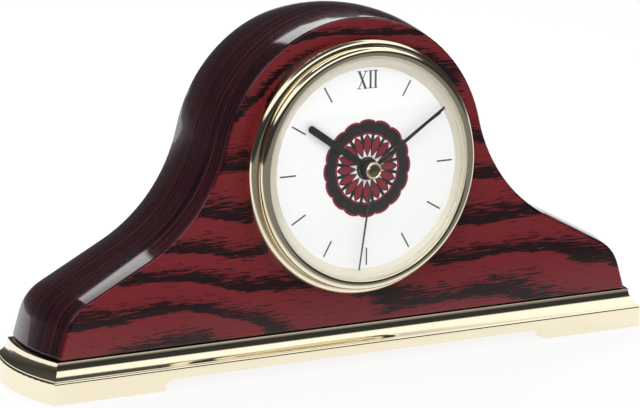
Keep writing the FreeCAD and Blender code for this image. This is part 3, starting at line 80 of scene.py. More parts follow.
def smoothCopy(nodeName, body, material, sharpAngle, bevel=0.0):
    # the CAD node's own shape, welded and shaded smooth between its real edges;
    # sharpAngle in degrees, bevel in metres
    mesh = nodes[nodeName].data.copy()
    normals = mesh.attributes.get("custom_normal")
    if normals:
        mesh.attributes.remove(normals)
    work = bmesh.new()
    work.from_mesh(mesh)
    bmesh.ops.remove_doubles(work, verts=work.verts, dist=meshCare["weld"])
    if bevel:
        bmesh.ops.dissolve_limit(
            work, angle_limit=meshCare["flatAngle"], verts=work.verts, edges=work.edges
        )
    softenEdges(work, sharpAngle)
    work.to_mesh(mesh)
    work.free()
    piece = newPiece(nodeName + "Finish", mesh, body, material, (nodeName,))
    if bevel:
        rounded = piece.modifiers.new("roundedEdges", "BEVEL")
        rounded.width = bevel
        rounded.segments = meshCare["bevelSegments"]
        rounded.limit_method = "ANGLE"
        rounded.angle_limit = math.radians(meshCare["bevelAngle"])
    evenNormals(piece)


def turnedMesh(name, profile, steps, closed=True, sharpAngle=28, shades=None):
    # profile: (radius, depth) pairs in millimetres, turned about the dial's axis
    work = bmesh.new()
    rings = []
    for step in range(steps):
        angle = 2.0 * math.pi * step / steps
        rings.append([
            work.verts.new(
                (r * mm * math.cos(angle), y * mm, dialHeight + r * mm * math.sin(angle))
            )
            for r, y in profile
        ])
    spans = len(profile) if closed else len(profile) - 1
    for step in range(steps):
        here, there = rings[step], rings[(step + 1) % steps]
        for spot in range(spans):
            after = (spot + 1) % len(profile)
            face = work.faces.new((here[spot], here[after], there[after], there[spot]))
            if shades:
                face.material_index = shades[spot]
    bmesh.ops.remove_doubles(work, verts=work.verts, dist=meshCare["turnedWeld"])
    bmesh.ops.recalc_face_normals(work, faces=work.faces)
    softenEdges(work, sharpAngle)
    mesh = bpy.data.meshes.new(name)
    work.to_mesh(mesh)
    work.free()
    return mesh


def arc(centre, radii, fromAngle, toAngle, count):
    # points of an ellipse arc in the turned profile's plane, angles in degrees
    points = []
    for step in range(count + 1):
        angle = math.radians(fromAngle + (toAngle - fromAngle) * step / count)
        points.append((
            centre[0] + radii[0] * math.cos(angle), centre[1] + radii[1] * math.sin(angle)
        ))
    return points


def prism(work, outline, height):
    # a thin flat shape in the XY plane, sizes in millimetres
    low = [work.verts.new((x * mm, y * mm, 0.0)) for x, y in outline]
    high = [work.verts.new((x * mm, y * mm, height * mm)) for x, y in outline]
    work.faces.new(low)
    work.faces.new(high)
    for spot in range(len(outline)):
        after = (spot + 1) % len(outline)
        work.faces.new((low[spot], low[after], high[after], high[spot]))


def ringPrism(work, outer, inner, height, lift):
    top = lift + height
    loops = []
    for outline, level in ((outer, lift), (outer, top), (inner, top), (inner, lift)):
        loops.append([work.verts.new((x * mm, y * mm, level * mm)) for x, y in outline])
    count = len(outer)
    for side in range(4):
        first, second = loops[side], loops[(side + 1) % 4]
        for spot in range(count):
            after = (spot + 1) % count
            work.faces.new((first[spot], first[after], second[after], second[spot]))


def finishFlat(work, name):
    bmesh.ops.recalc_face_normals(work, faces=work.faces)
    mesh = bpy.data.meshes.new(name)
    work.to_mesh(mesh)
    work.free()
    return mesh


# small tools for materials

def addNode(tree, kind, inputs=None, **settings):
    node = tree.nodes.new(kind)
    for key, value in settings.items():
        setattr(node, key, value)
    for key, value in (inputs or {}).items():
        if isinstance(value, bpy.types.NodeSocket):
            tree.links.new(value, node.inputs[key])
        else:
            node.inputs[key].default_value = value
    return node


def newMaterial(name, **sockets):
    material = bpy.data.materials.new(name)
    material.use_nodes = True
    tree = material.node_tree
    tree.nodes.clear()
    surface = addNode(tree, "ShaderNodeBsdfPrincipled")
    for key, value in sockets.items():
        surface.inputs[key.replace("_", " ")].default_value = value
    output = addNode(tree, "ShaderNodeOutputMaterial")
    tree.links.new(surface.outputs[0], output.inputs[0])
    return material, tree, surface


def millimetres(tree, scale=(1.0, 1.0, 1.0)):
    # the object's own coordinates in millimetres, times the scale
    place = addNode(tree, "ShaderNodeTexCoord")
    mapping = addNode(tree, "ShaderNodeMapping", {
        "Vector": place.outputs["Object"],
        "Scale": tuple(mmPerMetre * amount for amount in scale),
    })
    return mapping.outputs[0]


def noiseOf(tree, vector, scale, detail, rough=0.55):
    noise = addNode(tree, "ShaderNodeTexNoise", {
        "Vector": vector, "Scale": scale, "Detail": detail, "Roughness": rough,
    })
    return noise.outputs[0]


def mathOf(tree, operation, first, second=0.5, third=None):
    node = addNode(tree, "ShaderNodeMath", {0: first, 1: second}, operation=operation)
    if third is not None:
        node.inputs[2].default_value = third
    return node.outputs[0]


def rampOf(tree, value, *stops):
    # stops: (place, colour) pairs
    ramp = addNode(tree, "ShaderNodeValToRGB", {0: value})
    elements = ramp.color_ramp.elements
    while len(elements) < len(stops):
        elements.new(0.5)
    for element, (place, colour) in zip(elements, stops):
        element.position = place
        element.color = colour + (1.0,)
    return ramp.outputs[0]


def greyRamp(tree, value, stops):
    # stops: (place, level) pairs
    return rampOf(tree, value, *((place, grey(level)) for place, level in stops))


def blendOf(tree, share, first, second):
    # share is a socket, and each of the two colours a socket or three numbers
    node = addNode(tree, "ShaderNodeMix", {0: share}, data_type="RGBA")
    for socket, value in ((node.inputs[6], first), (node.inputs[7], second)):
        if isinstance(value, bpy.types.NodeSocket):
            tree.links.new(value, socket)
        else:
            socket.default_value = value + (1.0,)
    return node.outputs[2]


def bumpOn(tree, surface, height, strength, distance):
    bump = addNode(tree, "ShaderNodeBump", {
        "Height": height, "Strength": strength, "Distance": distance,
    })
    tree.links.new(bump.outputs[0], surface.inputs["Normal"])


def roughBetween(tree, surface, noise, low, high):
    tree.links.new(
        greyRamp(tree, noise, ((0.3, low), (0.7, high))), surface.inputs["Roughness"]
    )


def anyRay(tree, *kinds):
    # 1 for rays of any of these kinds, else 0
    rays = addNode(tree, "ShaderNodeLightPath")
    found = rays.outputs[kinds[0]]
    for kind in kinds[1:]:
        found = mathOf(tree, "MAXIMUM", found, rays.outputs[kind])
    return found


def mixAtOutput(tree, share, first, second):
    mix = addNode(tree, "ShaderNodeMixShader", {
        0: share, 1: first.outputs[0], 2: second.outputs[0],
    })
    output = [node for node in tree.nodes if node.type == "OUTPUT_MATERIAL"][0]
    tree.links.new(mix.outputs[0], output.inputs[0])


def grey(level):
    return (level, level, level)


# finishes

wood = {
    "field": (0.190, 0.018, 0.023), "deep": (0.060, 0.007, 0.010), "pore": (0.006, 0.003, 0.004),
    "edge": (0.022, 0.006, 0.009), "edgePale": (0.075, 0.012, 0.020),
    "gloss": 0.20, "coatRough": 0.02, "coatIndex": 1.40, "underSheen": 0.05,
    # the rings' spacing and how far the noises move them, in millimetres
    "bandSpacing": 15.5, "wander": 62.0 * 2.2, "ripple": 5.0,
    # noises: scale along X, Y and Z for each millimetre, detail, roughness
    "wanderNoise": ((0.0095, 0.010, 0.014), 1.0, 0.4),
    "rippleNoise": ((0.06, 0.05, 0.20), 3.0, 0.6),
    "poreNoise": ((0.13, 0.5, 1.9), 4.0, 0.68),
    "fleckNoise": ((0.3, 0.3, 4.5), 2.0, 0.6),
    "edgeNoise": ((0.012, 1.1, 0.012), 4.0, 0.7),
    "earlyTone": ((0.0, 0.95), (0.06, 1.0), (0.34, 0.45), (0.58, 0.05), (0.90, 0.0), (1.0, 0.95)),
    "crowding": 0.27, "poreTone": ((0.615, 0.0), (0.665, 1.0)),
    "earlyShare": 0.45, "fleckShare": 0.50, "poreShare": 0.94,
    "edgeStops": (0.36, 0.52, 0.70), "faceTone": ((0.55, 0.0), (0.92, 1.0)),
    "poreBump": 0.12, "poreDepth": 0.00005,
}


def woodNoise(tree, name):
    scale, detail, rough = wood[name]
    return noiseOf(tree, millimetres(tree, scale), 1.0, detail, rough)


def makeWood():
    material, tree, surface = newMaterial(
        "garnetLacqueredWood", Roughness=wood["gloss"], Coat_Weight=1.0,
        Coat_Roughness=wood["coatRough"], Coat_IOR=wood["coatIndex"],
        Specular_IOR_Level=wood["underSheen"],
    )
    apart = addNode(tree, "ShaderNodeSeparateXYZ", {0: millimetres(tree)})
    # arched rings of a flat-sawn board, running along the clock
    rise = mathOf(tree, "MULTIPLY_ADD", woodNoise(tree, "wanderNoise"), wood["wander"])
    tree.links.new(apart.outputs[2], rise.node.inputs[2])
    ripple = mathOf(tree, "MULTIPLY", woodNoise(tree, "rippleNoise"), wood["ripple"])
    rise = mathOf(tree, "ADD", rise, ripple)
    ring = mathOf(tree, "FRACT", mathOf(tree, "DIVIDE", rise, wood["bandSpacing"]))
    early = greyRamp(tree, ring, wood["earlyTone"])
    # short open pores, crowded in the early wood
    crowd = mathOf(tree, "MULTIPLY_ADD", early, wood["crowding"])
    tree.links.new(woodNoise(tree, "poreNoise"), crowd.node.inputs[2])
    streak = greyRamp(tree, crowd, wood["poreTone"])
    fleck = woodNoise(tree, "fleckNoise")
    face = wood["field"]
    for value, share, colour in (
        (early, "earlyShare", "deep"), (fleck, "fleckShare", "deep"), (streak, "poreShare", "pore"),
    ):
        face = blendOf(tree, mathOf(tree, "MULTIPLY", value, wood[share]), face, wood[colour])
    # the band wraps round the block, its grain running with the curve
    tones = (wood["pore"], wood["edge"], wood["edgePale"])
    band = rampOf(tree, woodNoise(tree, "edgeNoise"), *zip(wood["edgeStops"], tones))
    facing = addNode(tree, "ShaderNodeNewGeometry")
    turned = addNode(tree, "ShaderNodeSeparateXYZ", {0: facing.outputs["Normal"]})
    flat = greyRamp(tree, mathOf(tree, "ABSOLUTE", turned.outputs[1]), wood["faceTone"])
    tree.links.new(blendOf(tree, flat, band, face), surface.inputs["Base Color"])
    bumpOn(tree, surface, streak, wood["poreBump"], wood["poreDepth"])
    return material


metal = {
    "brass": (0.96, 0.88, 0.68), "shade": (0.97, 0.95, 0.90),
    "brushScale": 6.0, "cloudScale": 0.045,
}
paint = {
    "cloudScale": 0.11, "cloudDepth": 1.6, "glossFrom": 0.9, "glossTo": 1.15, "bumpStrength": 0.5,
}


def makeBrass(name, colour, low, high, along=(0.02, 0.4, 0.4)):
    material, tree, surface = newMaterial(name, Metallic=1.0)
    brush = noiseOf(tree, millimetres(tree, along), metal["brushScale"], 3.0, 0.6)
    cloud = noiseOf(tree, millimetres(tree), metal["cloudScale"], 2.0)
    shade = tuple(channel * factor for channel, factor in zip(colour, metal["shade"]))
    tree.links.new(blendOf(tree, cloud, colour, shade), surface.inputs["Base Color"])
    roughBetween(tree, surface, brush, low, high)
    return material


def makePaint(name, colour, rough, fine, spread, bump=0.0, coat=0.0, metallic=0.0):
    # an even finish with a little cloud in its colour and its gloss: roughness, scale of the
    # grain, spread of the colour, depth of the grain in metres, coat and share of metal
    material, tree, surface = newMaterial(name, Coat_Weight=coat, Metallic=metallic)
    place = millimetres(tree)
    cloud = noiseOf(tree, place, paint["cloudScale"], 3.0)
    grain = noiseOf(tree, place, fine, 3.0, 0.6)
    darker = tuple(channel * (1.0 - spread * paint["cloudDepth"]) for channel in colour)
    tree.links.new(blendOf(tree, cloud, colour, darker), surface.inputs["Base Color"])
    roughBetween(
        tree, surface, grain, rough * paint["glossFrom"], min(1.0, rough * paint["glossTo"])
    )
    if bump:
        bumpOn(tree, surface, grain, paint["bumpStrength"], bump)
    return material


def makeLensMaterial():
    material, tree, surface = newMaterial(
        "clearLens", Base_Color=(0.985, 0.99, 0.99, 1.0), Roughness=0.0, IOR=1.46,
        Transmission_Weight=1.0,
    )
    through = anyRay(tree, "Is Shadow Ray", "Is Diffuse Ray")
    clear = addNode(tree, "ShaderNodeBsdfTransparent")
    mixAtOutput(tree, through, surface, clear)
    return material


finishes = {
    "wood": makeWood(),
    "brass": makeBrass("polishedBrass", metal["brass"], 0.05, 0.09),
    "ringGold": makePaint("paleSatinGold", (0.92, 0.86, 0.70), 0.34, 3.0, 0.06, 0.0, 0.3, 0.35),
    "capCentre": makeBrass("darkCapCentre", (0.16, 0.14, 0.07), 0.30, 0.42, (0.5, 0.5, 0.5)),
    "lens": makeLensMaterial(),
    "dial": makePaint("printedDialWhite", (0.97, 0.97, 0.965), 0.42, 6.0, 0.015, 0.000004),
    "printGrey": makePaint("printGrey", (0.075, 0.075, 0.08), 0.5, 5.0, 0.08),
    "printGarnet": makePaint("printGarnet", (0.26, 0.008, 0.026), 0.45, 5.0, 0.08),
    "printBlack": makePaint("printBlack", (0.012, 0.011, 0.012), 0.45, 5.0, 0.05),
    "hand": makePaint("blackHandLacquer", (0.012, 0.012, 0.013), 0.22, 4.0, 0.10, 0.0, 0.6),
    "secondHand": makePaint("oliveHandLacquer", (0.040, 0.040, 0.030), 0.30, 4.0, 0.10, 0.0, 0.4),
    "plastic": makePaint("blackPlastic", (0.022, 0.022, 0.024), 0.46, 3.5, 0.12, 0.00003),
    "rubber": makePaint("gripRubber", (0.030, 0.030, 0.030), 0.78, 2.5, 0.15, 0.00004),
    "felt": makePaint("greenFelt", (0.045, 0.095, 0.050), 0.95, 5.0, 0.25, 0.00025),
    "steel": makePaint("zincSteel", (0.62, 0.62, 0.60), 0.30, 3.0, 0.08, 0.0, 0.0, 1.0),
    "gear": makePaint("ivoryGearPlastic", (0.72, 0.70, 0.62), 0.38, 3.0, 0.05),
    "magnet": makePaint("darkMagnet", (0.05, 0.05, 0.055), 0.42, 3.0, 0.10, 0.00002),
    "copper": makePaint("copperWire", (0.62, 0.24, 0.10), 0.28, 8.0, 0.12, 0.00004, 0.3, 0.8),
    "board": makePaint("boardLaminate", (0.035, 0.16, 0.07), 0.40, 2.5, 0.10),
    "cell": makePaint("cellSleeve", (0.05, 0.055, 0.07), 0.25, 3.0, 0.08, 0.0, 0.4),
}
print("finishes ready:", len(finishes))


# wooden case and brass plinth

smoothCopy("case_body", "case", finishes["wood"], 30)
smoothCopy("base_plinth", "case", finishes["brass"], 26)
smoothCopy("base_felt_pads", "case", finishes["felt"], 40)
smoothCopy("base_screws", "case", finishes["steel"], 30)
print("case and plinth done")


# bezel, reflector ring and lens, turned about the dial's axis

bezel = {
    "steps": 240,
    "profile": (
        [(44.5, -19.6)]
        + arc((42.6, -23.8), (1.9, 2.2), 0, -90, 9)
        + [(42.55, -25.5), (42.25, -25.5)]
        + arc((40.4, -27.95), (1.8, 1.8), 0, -90, 9)
        + arc((40.4, -29.2), (1.5, 0.55), -95, -180, 6)
        + [(38.9, -28.85), (39.95, -28.82), (40.0, -19.8), (40.75, -19.8), (40.85, -23.9),
           (43.35, -23.9), (43.4, -19.6)]
    ),
}
newPiece(
    "bezelRing", turnedMesh("bezelRing", bezel["profile"], bezel["steps"]), "case",
    finishes["brass"], ("bezel_ring",),
)

reflector = {
    "steps": 240,
    "profile": [(35.1, -26.62), (35.1, -26.80), (35.3, -26.92), (38.9, -27.72), (39.2, -27.78),
                (39.65, -27.78), (39.65, -26.62)],
}
newPiece(
    "reflectorRing", turnedMesh("reflectorRing", reflector["profile"], reflector["steps"]), "case",
    finishes["ringGold"], ("reflector_ring",),
)


def domeLine(rim, rimDepth, apexDepth, count):
    # circle arc from the rim to the apex on the axis
    rise = rimDepth - apexDepth
    radius = (rim * rim + rise * rise) / (2.0 * rise)
    points = []
    for step in range(count + 1):
        r = rim * (1.0 - step / count)
        points.append((r, apexDepth + radius - math.sqrt(radius * radius - r * r)))
    return points


lens = {"steps": 160, "rings": 16}
lensLine = (
    [(39.68, -27.84), (39.68, -28.78), (38.6, -28.78), (37.9, -29.05), (36.9, -29.85)]
    + domeLine(36.2, -30.28, -33.28, lens["rings"])
    + list(reversed(domeLine(35.6, -29.34, -32.30, lens["rings"])))
    + [(36.5, -28.85), (37.5, -28.05), (38.3, -27.84)]
)
newPiece(
    "domedLens", turnedMesh("domedLens", lensLine, lens["steps"]), "case",
    finishes["lens"], ("lens",),
)
print("bezel and lens done")


# dial and its print, drawn flat and then stood up in front of the plate

smoothCopy("dial_plate", "case", finishes["dial"], 30)

dial = {
    "front": -26.6, "ink": 0.03,
    "hours": 12, "numeralPlace": 3, "markFrom": 27.8, "markTo": 33.9, "markWidth": 0.55,
    "numeralHeight": 6.2, "numeralRadius": 30.9,
    "rosetteReach": 17.2, "rosetteBand": 4.2, "scallops": 16, "scallopDepth": 0.9, "outline": 0.75,
    "innerScallop": 0.6, "petals": 16, "petalFrom": 4.6, "petalTo": 11.4, "petalWidth": 2.5,
    "leaves": 16, "leafOverlap": 3.2, "leafTo": 12.6, "leafWidth": 1.25,
    "leafSkew": 1.25, "leafBlunt": 0.8, "layer": 0.01,
    # how much further in, out and wide the black petals reach behind the garnet ones
    "petalBorder": (0.5, 0.6, 0.9),
    # strokes of the numeral: x at the foot, x at the head, width
    "strokes": ((-0.85, -3.45, 0.95), (-3.60, -0.70, 0.36), (1.05, 1.05, 0.80), (3.05, 3.05, 0.80)),
    # its serifs: middle, half width
    "serifs": ((-0.9, 0.75), (-3.45, 0.75), (1.05, 0.85), (3.05, 0.85)), "serifHeight": 0.26,
}


def standUp(mesh, lift=0.0):
    # XY drawing to the dial's plane, facing the front
    mesh.transform(
        Matrix.Translation((0.0, (dial["front"] - lift) * mm, dialHeight))
        @ Matrix.Rotation(math.radians(90.0), 4, "X")
    )
    return mesh


def aroundTree():
    # copies a flat shape round a circle, turned outwards, with one place left free
    tree = bpy.data.node_groups.new("copiesRoundDial", "GeometryNodeTree")
    sockets = (
        ("Shape", "NodeSocketObject"), ("Count", "NodeSocketInt"), ("Radius", "NodeSocketFloat"),
        ("Turn", "NodeSocketFloat"), ("Free Place", "NodeSocketInt"),
        ("Finish", "NodeSocketMaterial"),
    )
    for label, kind in sockets:
        tree.interface.new_socket(name=label, in_out="INPUT", socket_type=kind)
    tree.interface.new_socket(name="Copies", in_out="OUTPUT", socket_type="NodeSocketGeometry")
    given = addNode(tree, "NodeGroupInput")
    circle = addNode(tree, "GeometryNodeMeshCircle", {
        "Vertices": given.outputs["Count"], "Radius": given.outputs["Radius"],
    })
    shape = addNode(tree, "GeometryNodeObjectInfo", {"Object": given.outputs["Shape"]})
    index = addNode(tree, "GeometryNodeInputIndex")
    share = addNode(tree, "ShaderNodeMath", {0: index.outputs[0], 1: given.outputs["Count"]},
                    operation="DIVIDE")
    angle = addNode(tree, "ShaderNodeMath", {0: share.outputs[0], 1: 2.0 * math.pi},
                    operation="MULTIPLY")
    turn = addNode(tree, "ShaderNodeCombineXYZ", {"Z": angle.outputs[0]})
    taken = addNode(tree, "FunctionNodeCompare", data_type="INT", operation="NOT_EQUAL")
    tree.links.new(index.outputs[0], taken.inputs[2])
    tree.links.new(given.outputs["Free Place"], taken.inputs[3])
    copies = addNode(tree, "GeometryNodeInstanceOnPoints", {
        "Points": circle.outputs["Mesh"], "Instance": shape.outputs["Geometry"],
        "Rotation": turn.outputs[0], "Selection": taken.outputs[0],
    })
    whole = addNode(tree, "ShaderNodeCombineXYZ", {"Z": given.outputs["Turn"]})
    placed = addNode(tree, "GeometryNodeTransform", {
        "Geometry": copies.outputs[0], "Rotation": whole.outputs[0],
    })
    real = addNode(tree, "GeometryNodeRealizeInstances", {0: placed.outputs[0]})
    painted = addNode(tree, "GeometryNodeSetMaterial", {
        "Geometry": real.outputs[0], "Material": given.outputs["Finish"],
    })
    result = addNode(tree, "NodeGroupOutput")
    tree.links.new(painted.outputs[0], result.inputs[0])
    return tree


roundDial = aroundTree()


def copiesRound(name, shapeMesh, count, radius, finish, turn=0.0, freePlace=-1, lift=0.0):
    shape = bpy.data.objects.new(name + "Shape", shapeMesh)
    holder = bpy.data.objects.new(name + "Holder", bpy.data.meshes.new(name + "Empty"))
    for item in (shape, holder):
        bpy.context.scene.collection.objects.link(item)
    modifier = holder.modifiers.new("copies", "NODES")
    modifier.node_group = roundDial
    values = {"Shape": shape, "Count": count, "Radius": radius * mm, "Turn": turn,
              "Free Place": freePlace, "Finish": finish}
    for item in roundDial.interface.items_tree:
        if item.in_out == "INPUT":
            modifier[item.identifier] = values[item.name]
    graph = bpy.context.evaluated_depsgraph_get()
    mesh = bpy.data.meshes.new_from_object(holder.evaluated_get(graph))
    mesh.name = name
    for item in (shape, holder):
        bpy.data.objects.remove(item)
    newPiece(name, standUp(mesh, lift), "case", finish)


markShape = bmesh.new()
half = (dial["markTo"] - dial["markFrom"]) / 2.0
side = dial["markWidth"] / 2.0
prism(markShape, [(-half, -side), (half, -side), (half, side), (-half, side)], dial["ink"])
copiesRound(
    "hourMarks", finishFlat(markShape, "hourMark"), dial["hours"],
    (dial["markFrom"] + dial["markTo"]) / 2.0, finishes["printGrey"], 0.0, dial["numeralPlace"],
)


def bar(work, start, end, width):
    # one stroke, cut level at its two ends
    half = width / 2.0
    prism(work, [(start[0] - half, start[1]), (start[0] + half, start[1]),
                 (end[0] + half, end[1]), (end[0] - half, end[1])], dial["ink"])


numeral = bmesh.new()
low = dial["numeralRadius"] - dial["numeralHeight"] / 2.0
high = dial["numeralRadius"] + dial["numeralHeight"] / 2.0
for foot, head, width in dial["strokes"]:
    bar(numeral, (foot, low), (head, high), width)
for middle, reach in dial["serifs"]:
    for foot in (low, high - dial["serifHeight"]):
        bar(numeral, (middle, foot), (middle, foot + dial["serifHeight"]), reach * 2.0)
newPiece("topNumeral", standUp(finishFlat(numeral, "topNumeral")), "case", finishes["printGrey"])


def scallopLine(reach, depth, count, points=384):
    line = []
    for step in range(points):
        angle = 2.0 * math.pi * step / points
        r = reach + depth * math.sqrt(abs(math.cos(angle * count / 2.0)))
        line.append((r * math.cos(angle), r * math.sin(angle)))
    return line


def scallopBand(name, outerReach, innerReach, finish, lift):
    work = bmesh.new()
    depth, count = dial["scallopDepth"], dial["scallops"]
    ringPrism(work, scallopLine(outerReach, depth, count),
              scallopLine(innerReach, depth * dial["innerScallop"], count), dial["ink"], lift)
    newPiece(name, standUp(finishFlat(work, name)), "case", finish)


def leafShape(name, fromRadius, toRadius, width, points=14):
    # a pointed oval along X, widest a little past its middle
    work = bmesh.new()
    upper = []
    for step in range(points + 1):
        share = step / points
        swell = 0.0
        if 0 < step < points:
            swell = math.sin(math.pi * share ** dial["leafSkew"]) ** dial["leafBlunt"]
        upper.append((fromRadius + (toRadius - fromRadius) * share, width / 2.0 * swell))
    lower = [(x, -y) for x, y in reversed(upper[1:-1])]
    prism(work, upper + lower, dial["ink"])
    return finishFlat(work, name)


reach, line = dial["rosetteReach"] - dial["scallopDepth"], dial["outline"]
band, second, third = dial["rosetteBand"], dial["layer"], dial["layer"] * 2
scallopBand("rosetteRimGarnet", reach, reach - band - line, finishes["printGarnet"], 0.0)
scallopBand("rosetteRimBlack", reach - line, reach - band, finishes["printBlack"], third)
further, longer, wider = dial["petalBorder"]
copiesRound(
    "rosettePetalsBlack",
    leafShape("petalBack", dial["petalFrom"] - further, dial["petalTo"] + longer,
              dial["petalWidth"] + wider),
    dial["petals"], 0.0, finishes["printBlack"],
)
copiesRound(
    "rosettePetals", leafShape("petal", dial["petalFrom"], dial["petalTo"], dial["petalWidth"]),
    dial["petals"], 0.0, finishes["printGarnet"], lift=third,
)
copiesRound(
    "rosetteLeaves",
    leafShape("leaf", dial["petalTo"] - dial["leafOverlap"], dial["leafTo"], dial["leafWidth"]),
    dial["leaves"], 0.0, finishes["printBlack"], math.pi / dial["leaves"], lift=second,
)
print("dial print done")


# hands

handEdge = {"sharpAngle": 25, "bevel": 0.00010, "secondBevel": 0.00005}
for nodeName, body, finish, bevel in (
    ("hour_hand", "hour", "hand", "bevel"), ("minute_hand", "minute", "hand", "bevel"),
    ("second_hand", "second", "secondHand", "secondBevel"),
):
    smoothCopy(nodeName, body, finishes[finish], handEdge["sharpAngle"],
               handEdge[bevel])

cap = {
    "steps": 72,
    "profile": (
        [(0.0, -31.45), (2.05, -31.45), (2.2, -31.55)]
        + arc((2.6, -31.3), (0.38, 0.39), -150, 0, 8)
        + [(2.98, -30.92), (0.0, -30.92)]
    ),
}
capShades = [1, 1] + [0] * (len(cap["profile"]) - 3)
capMesh = turnedMesh("handCap", cap["profile"], cap["steps"], closed=False, sharpAngle=40,
                     shades=capShades)
newPiece("handCap", capMesh, "second", finishes["brass"], ("second_hand_cap",))
capMesh.materials.append(finishes["capCentre"])
print("hands done")


# back of the insert, and the finishes of what lies inside

rearPieces = {
    "insert_can": ("plastic", "black_plastic"), "grip_band": ("rubber", "grip_rubber"),
    "movement_rear_housing": ("plastic", "black_plastic"), "battery_cell": ("cell", "cell_sleeve"),
    "battery_contact_positive": ("steel", "zinc_steel"),
    "battery_contact_negative": ("steel", "zinc_steel"),
}
for nodeName, (finish, slotName) in rearPieces.items():
    smoothCopy(nodeName, "case", finishes[finish], 30)
smoothCopy("setting_knob", "setting", finishes["gear"], 32)

innerFinishes = {
    "movement_front_housing": "plastic", "gear_bridge": "gear", "bridge_screws": "steel",
    "circuit_board": "board", "quartz_crystal": "steel", "coil_bobbin": "gear",
    "coil_winding": "copper", "coil_core": "steel", "stator_plate": "steel",
    "rotor_magnet": "magnet", "rotor_pinion": "gear",
    "intermediate_wheel": "gear", "second_wheel": "gear", "third_wheel": "gear",
    "centre_wheel": "gear",
    "clutch_spring": "steel", "minute_arbor": "brass", "minute_wheel": "gear", "hour_wheel": "gear",
    "setting_pinion": "gear",
}
for nodeName, finish in innerFinishes.items():
    mesh = nodes[nodeName].data
    mesh.materials.clear()
    mesh.materials.append(finishes[finish])
print("back and inner pieces done")


# studio: floor, world, lamps and camera

studio = {
    "floorSize": 6.0, "floorGrey": 0.86, "floorRough": 0.9, "floorGlow": 0.86,
    # what polished pieces see of the floor, by twice its Y in metres plus one
    "nearScale": 2.0, "nearStart": 1.0, "nearTone": ((0.74, 0.07), (0.91, 1.0)),
    "skyLevel": 0.68, "panelLevel": 6.0,
    # what they see of the room by height, from 0 straight below to 1 straight above
    "aheadTone": ((0.49, 0.10), (0.53, 0.03), (0.735, 0.04), (0.775, 1.15), (0.925, 1.15),
                  (0.945, 0.08), (1.0, 0.06)),
    "behindTone": ((0.49, 0.30), (0.54, 0.09), (0.66, 0.04), (0.90, 0.08), (1.0, 0.35)),
    # where the front of the room ends and the back begins, along Y
    "depthTone": ((0.67, 0.0), (0.72, 1.0)),
    # the panel's reach along Y, Z and X
    "panelDepth": ((0.778, 0.0), (0.786, 1.0), (0.838, 1.0), (0.846, 0.0)),
    "panelHeight": ((0.73, 0.0), (0.75, 1.0)), "panelWidth": ((0.435, 0.0), (0.455, 1.0)),
    "lamps": (
        # name, place, aim, width, height, watts
        ("keyBox", (-0.25, -0.55, 1.15), (0.0, 0.0, 0.06), 0.6, 0.4, 4.6),
        ("fillBox", (-0.75, -1.30, 0.60), (0.0, 0.0, 0.06), 0.8, 0.6, 5.0),
        ("backBox", (0.02, 0.76, 1.08), (0.0, 0.0, 0.08), 0.62, 0.18, 4.5),
        ("humpBox", (0.44, 0.84, 0.94), (0.0, 0.0, 0.08), 0.55, 0.11, 1.9),
    ),
}


def makeFloor():
    size = studio["floorSize"]
    mesh = bpy.data.meshes.new("studioFloor")
    corners = [(-size, -size, 0), (size, -size, 0), (size, size, 0), (-size, size, 0)]
    mesh.from_pydata(corners, [], [(0, 1, 2, 3)])
    floor = bpy.data.objects.new("studioFloor", mesh)
    bpy.context.scene.collection.objects.link(floor)
    material, tree, surface = newMaterial(
        "paleFloor", Base_Color=grey(studio["floorGrey"]) + (1.0,),
        Roughness=studio["floorRough"], Specular_IOR_Level=0.0,
    )
    seen = anyRay(tree, "Is Camera Ray", "Is Transmission Ray", "Is Glossy Ray")
    # polished pieces see the floor white close by and dimmer further out in front
    place = addNode(tree, "ShaderNodeTexCoord")
    apart = addNode(tree, "ShaderNodeSeparateXYZ", {0: place.outputs["Object"]})
    way = mathOf(tree, "MULTIPLY_ADD", apart.outputs[1], studio["nearScale"], studio["nearStart"])
    near = greyRamp(tree, way, studio["nearTone"])
    level = mathOf(tree, "MAXIMUM", near, anyRay(tree, "Is Camera Ray"))
    white = addNode(tree, "ShaderNodeEmission", {"Color": (1.0, 1.0, 1.0, 1.0), "Strength": level})
    mixAtOutput(tree, mathOf(tree, "MULTIPLY", seen, studio["floorGlow"]), surface, white)
    mesh.materials.append(material)


def fromHalf(tree, part):
    # a direction's part along an axis, brought from -1..1 to 0..1
    return mathOf(tree, "MULTIPLY_ADD", part, 0.5, 0.5)


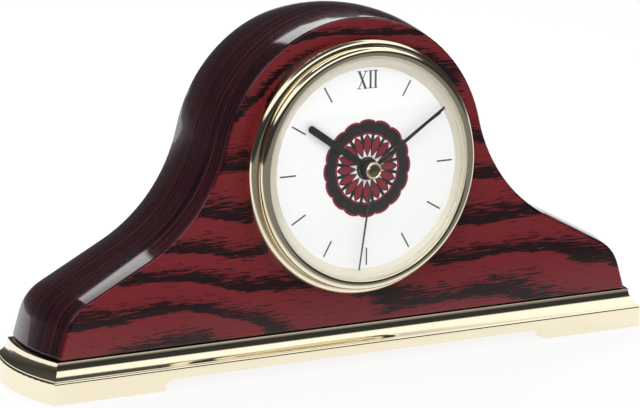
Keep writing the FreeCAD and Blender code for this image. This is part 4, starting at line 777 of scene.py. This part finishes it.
def makeWorld():
    world = bpy.data.worlds.new("paleStudio")
    bpy.context.scene.world = world
    world.use_nodes = True
    tree = world.node_tree
    tree.nodes.clear()
    look = addNode(tree, "ShaderNodeTexCoord")
    way = addNode(tree, "ShaderNodeSeparateXYZ", {0: look.outputs["Generated"]})
    across, along, height = (fromHalf(tree, way.outputs[axis]) for axis in range(3))
    # what polished pieces see: in front a dim room with a bright ceiling, behind a darker one
    ahead = greyRamp(tree, height, studio["aheadTone"])
    behind = greyRamp(tree, height, studio["behindTone"])
    depth = greyRamp(tree, along, studio["depthTone"])
    room = blendOf(tree, depth, ahead, behind)
    # a long narrow panel overhead and behind, for the streak along the block's front edge
    strip = greyRamp(tree, along, studio["panelDepth"])
    raised = greyRamp(tree, height, studio["panelHeight"])
    ended = greyRamp(tree, across, studio["panelWidth"])
    panel = mathOf(tree, "MULTIPLY", mathOf(tree, "MULTIPLY", strip, raised), ended)
    seenByMetal = blendOf(tree, panel, room, grey(studio["panelLevel"]))
    even = blendOf(tree, anyRay(tree, "Is Glossy Ray"), grey(studio["skyLevel"]), seenByMetal)
    plain = anyRay(tree, "Is Camera Ray", "Is Transmission Ray")
    colour = blendOf(tree, plain, even, grey(1.0))
    back = addNode(tree, "ShaderNodeBackground", {"Color": colour, "Strength": 1.0})
    output = addNode(tree, "ShaderNodeOutputWorld")
    tree.links.new(back.outputs[0], output.inputs[0])


def makeLamps():
    for name, place, aim, width, height, watts in studio["lamps"]:
        light = bpy.data.lights.new(name, "AREA")
        light.shape = "RECTANGLE"
        light.size, light.size_y, light.energy = width, height, watts
        lamp = bpy.data.objects.new(name, light)
        bpy.context.scene.collection.objects.link(lamp)
        lamp.location = place
        lamp.rotation_euler = (Vector(aim) - Vector(place)).to_track_quat("-Z", "Y").to_euler()
        lamp.visible_camera = False
        lamp.visible_glossy = False


view = {
    "target": (-0.0211, -0.0240, 0.0590), "azimuth": -29.1, "elevation": 12.0, "roll": 0.3,
    "distance": 1.132, "lens": 186.4, "sensorWidth": 36.0, "shiftX": 0.0172, "shiftY": 0.002,
    "nearest": 0.01, "furthest": 50.0,
}


def makeCamera():
    azimuth, elevation = math.radians(view["azimuth"]), math.radians(view["elevation"])
    level = math.cos(elevation)
    back = Vector((
        math.sin(azimuth) * level, -math.cos(azimuth) * level, math.sin(elevation)
    ))
    data = bpy.data.cameras.new("photoCamera")
    data.sensor_width = view["sensorWidth"]
    data.lens = view["lens"]
    data.shift_x, data.shift_y = view["shiftX"], view["shiftY"]
    data.clip_start, data.clip_end = view["nearest"], view["furthest"]
    camera = bpy.data.objects.new("photoCamera", data)
    bpy.context.scene.collection.objects.link(camera)
    camera.location = Vector(view["target"]) + back * view["distance"]
    roll = Matrix.Rotation(math.radians(view["roll"]), 3, "Z")
    camera.rotation_euler = (back.to_track_quat("Z", "Y").to_matrix() @ roll).to_euler()
    bpy.context.scene.camera = camera


makeFloor()
makeWorld()
makeLamps()
makeCamera()
bpy.context.scene.view_settings.view_transform = "Standard"
print("studio done")
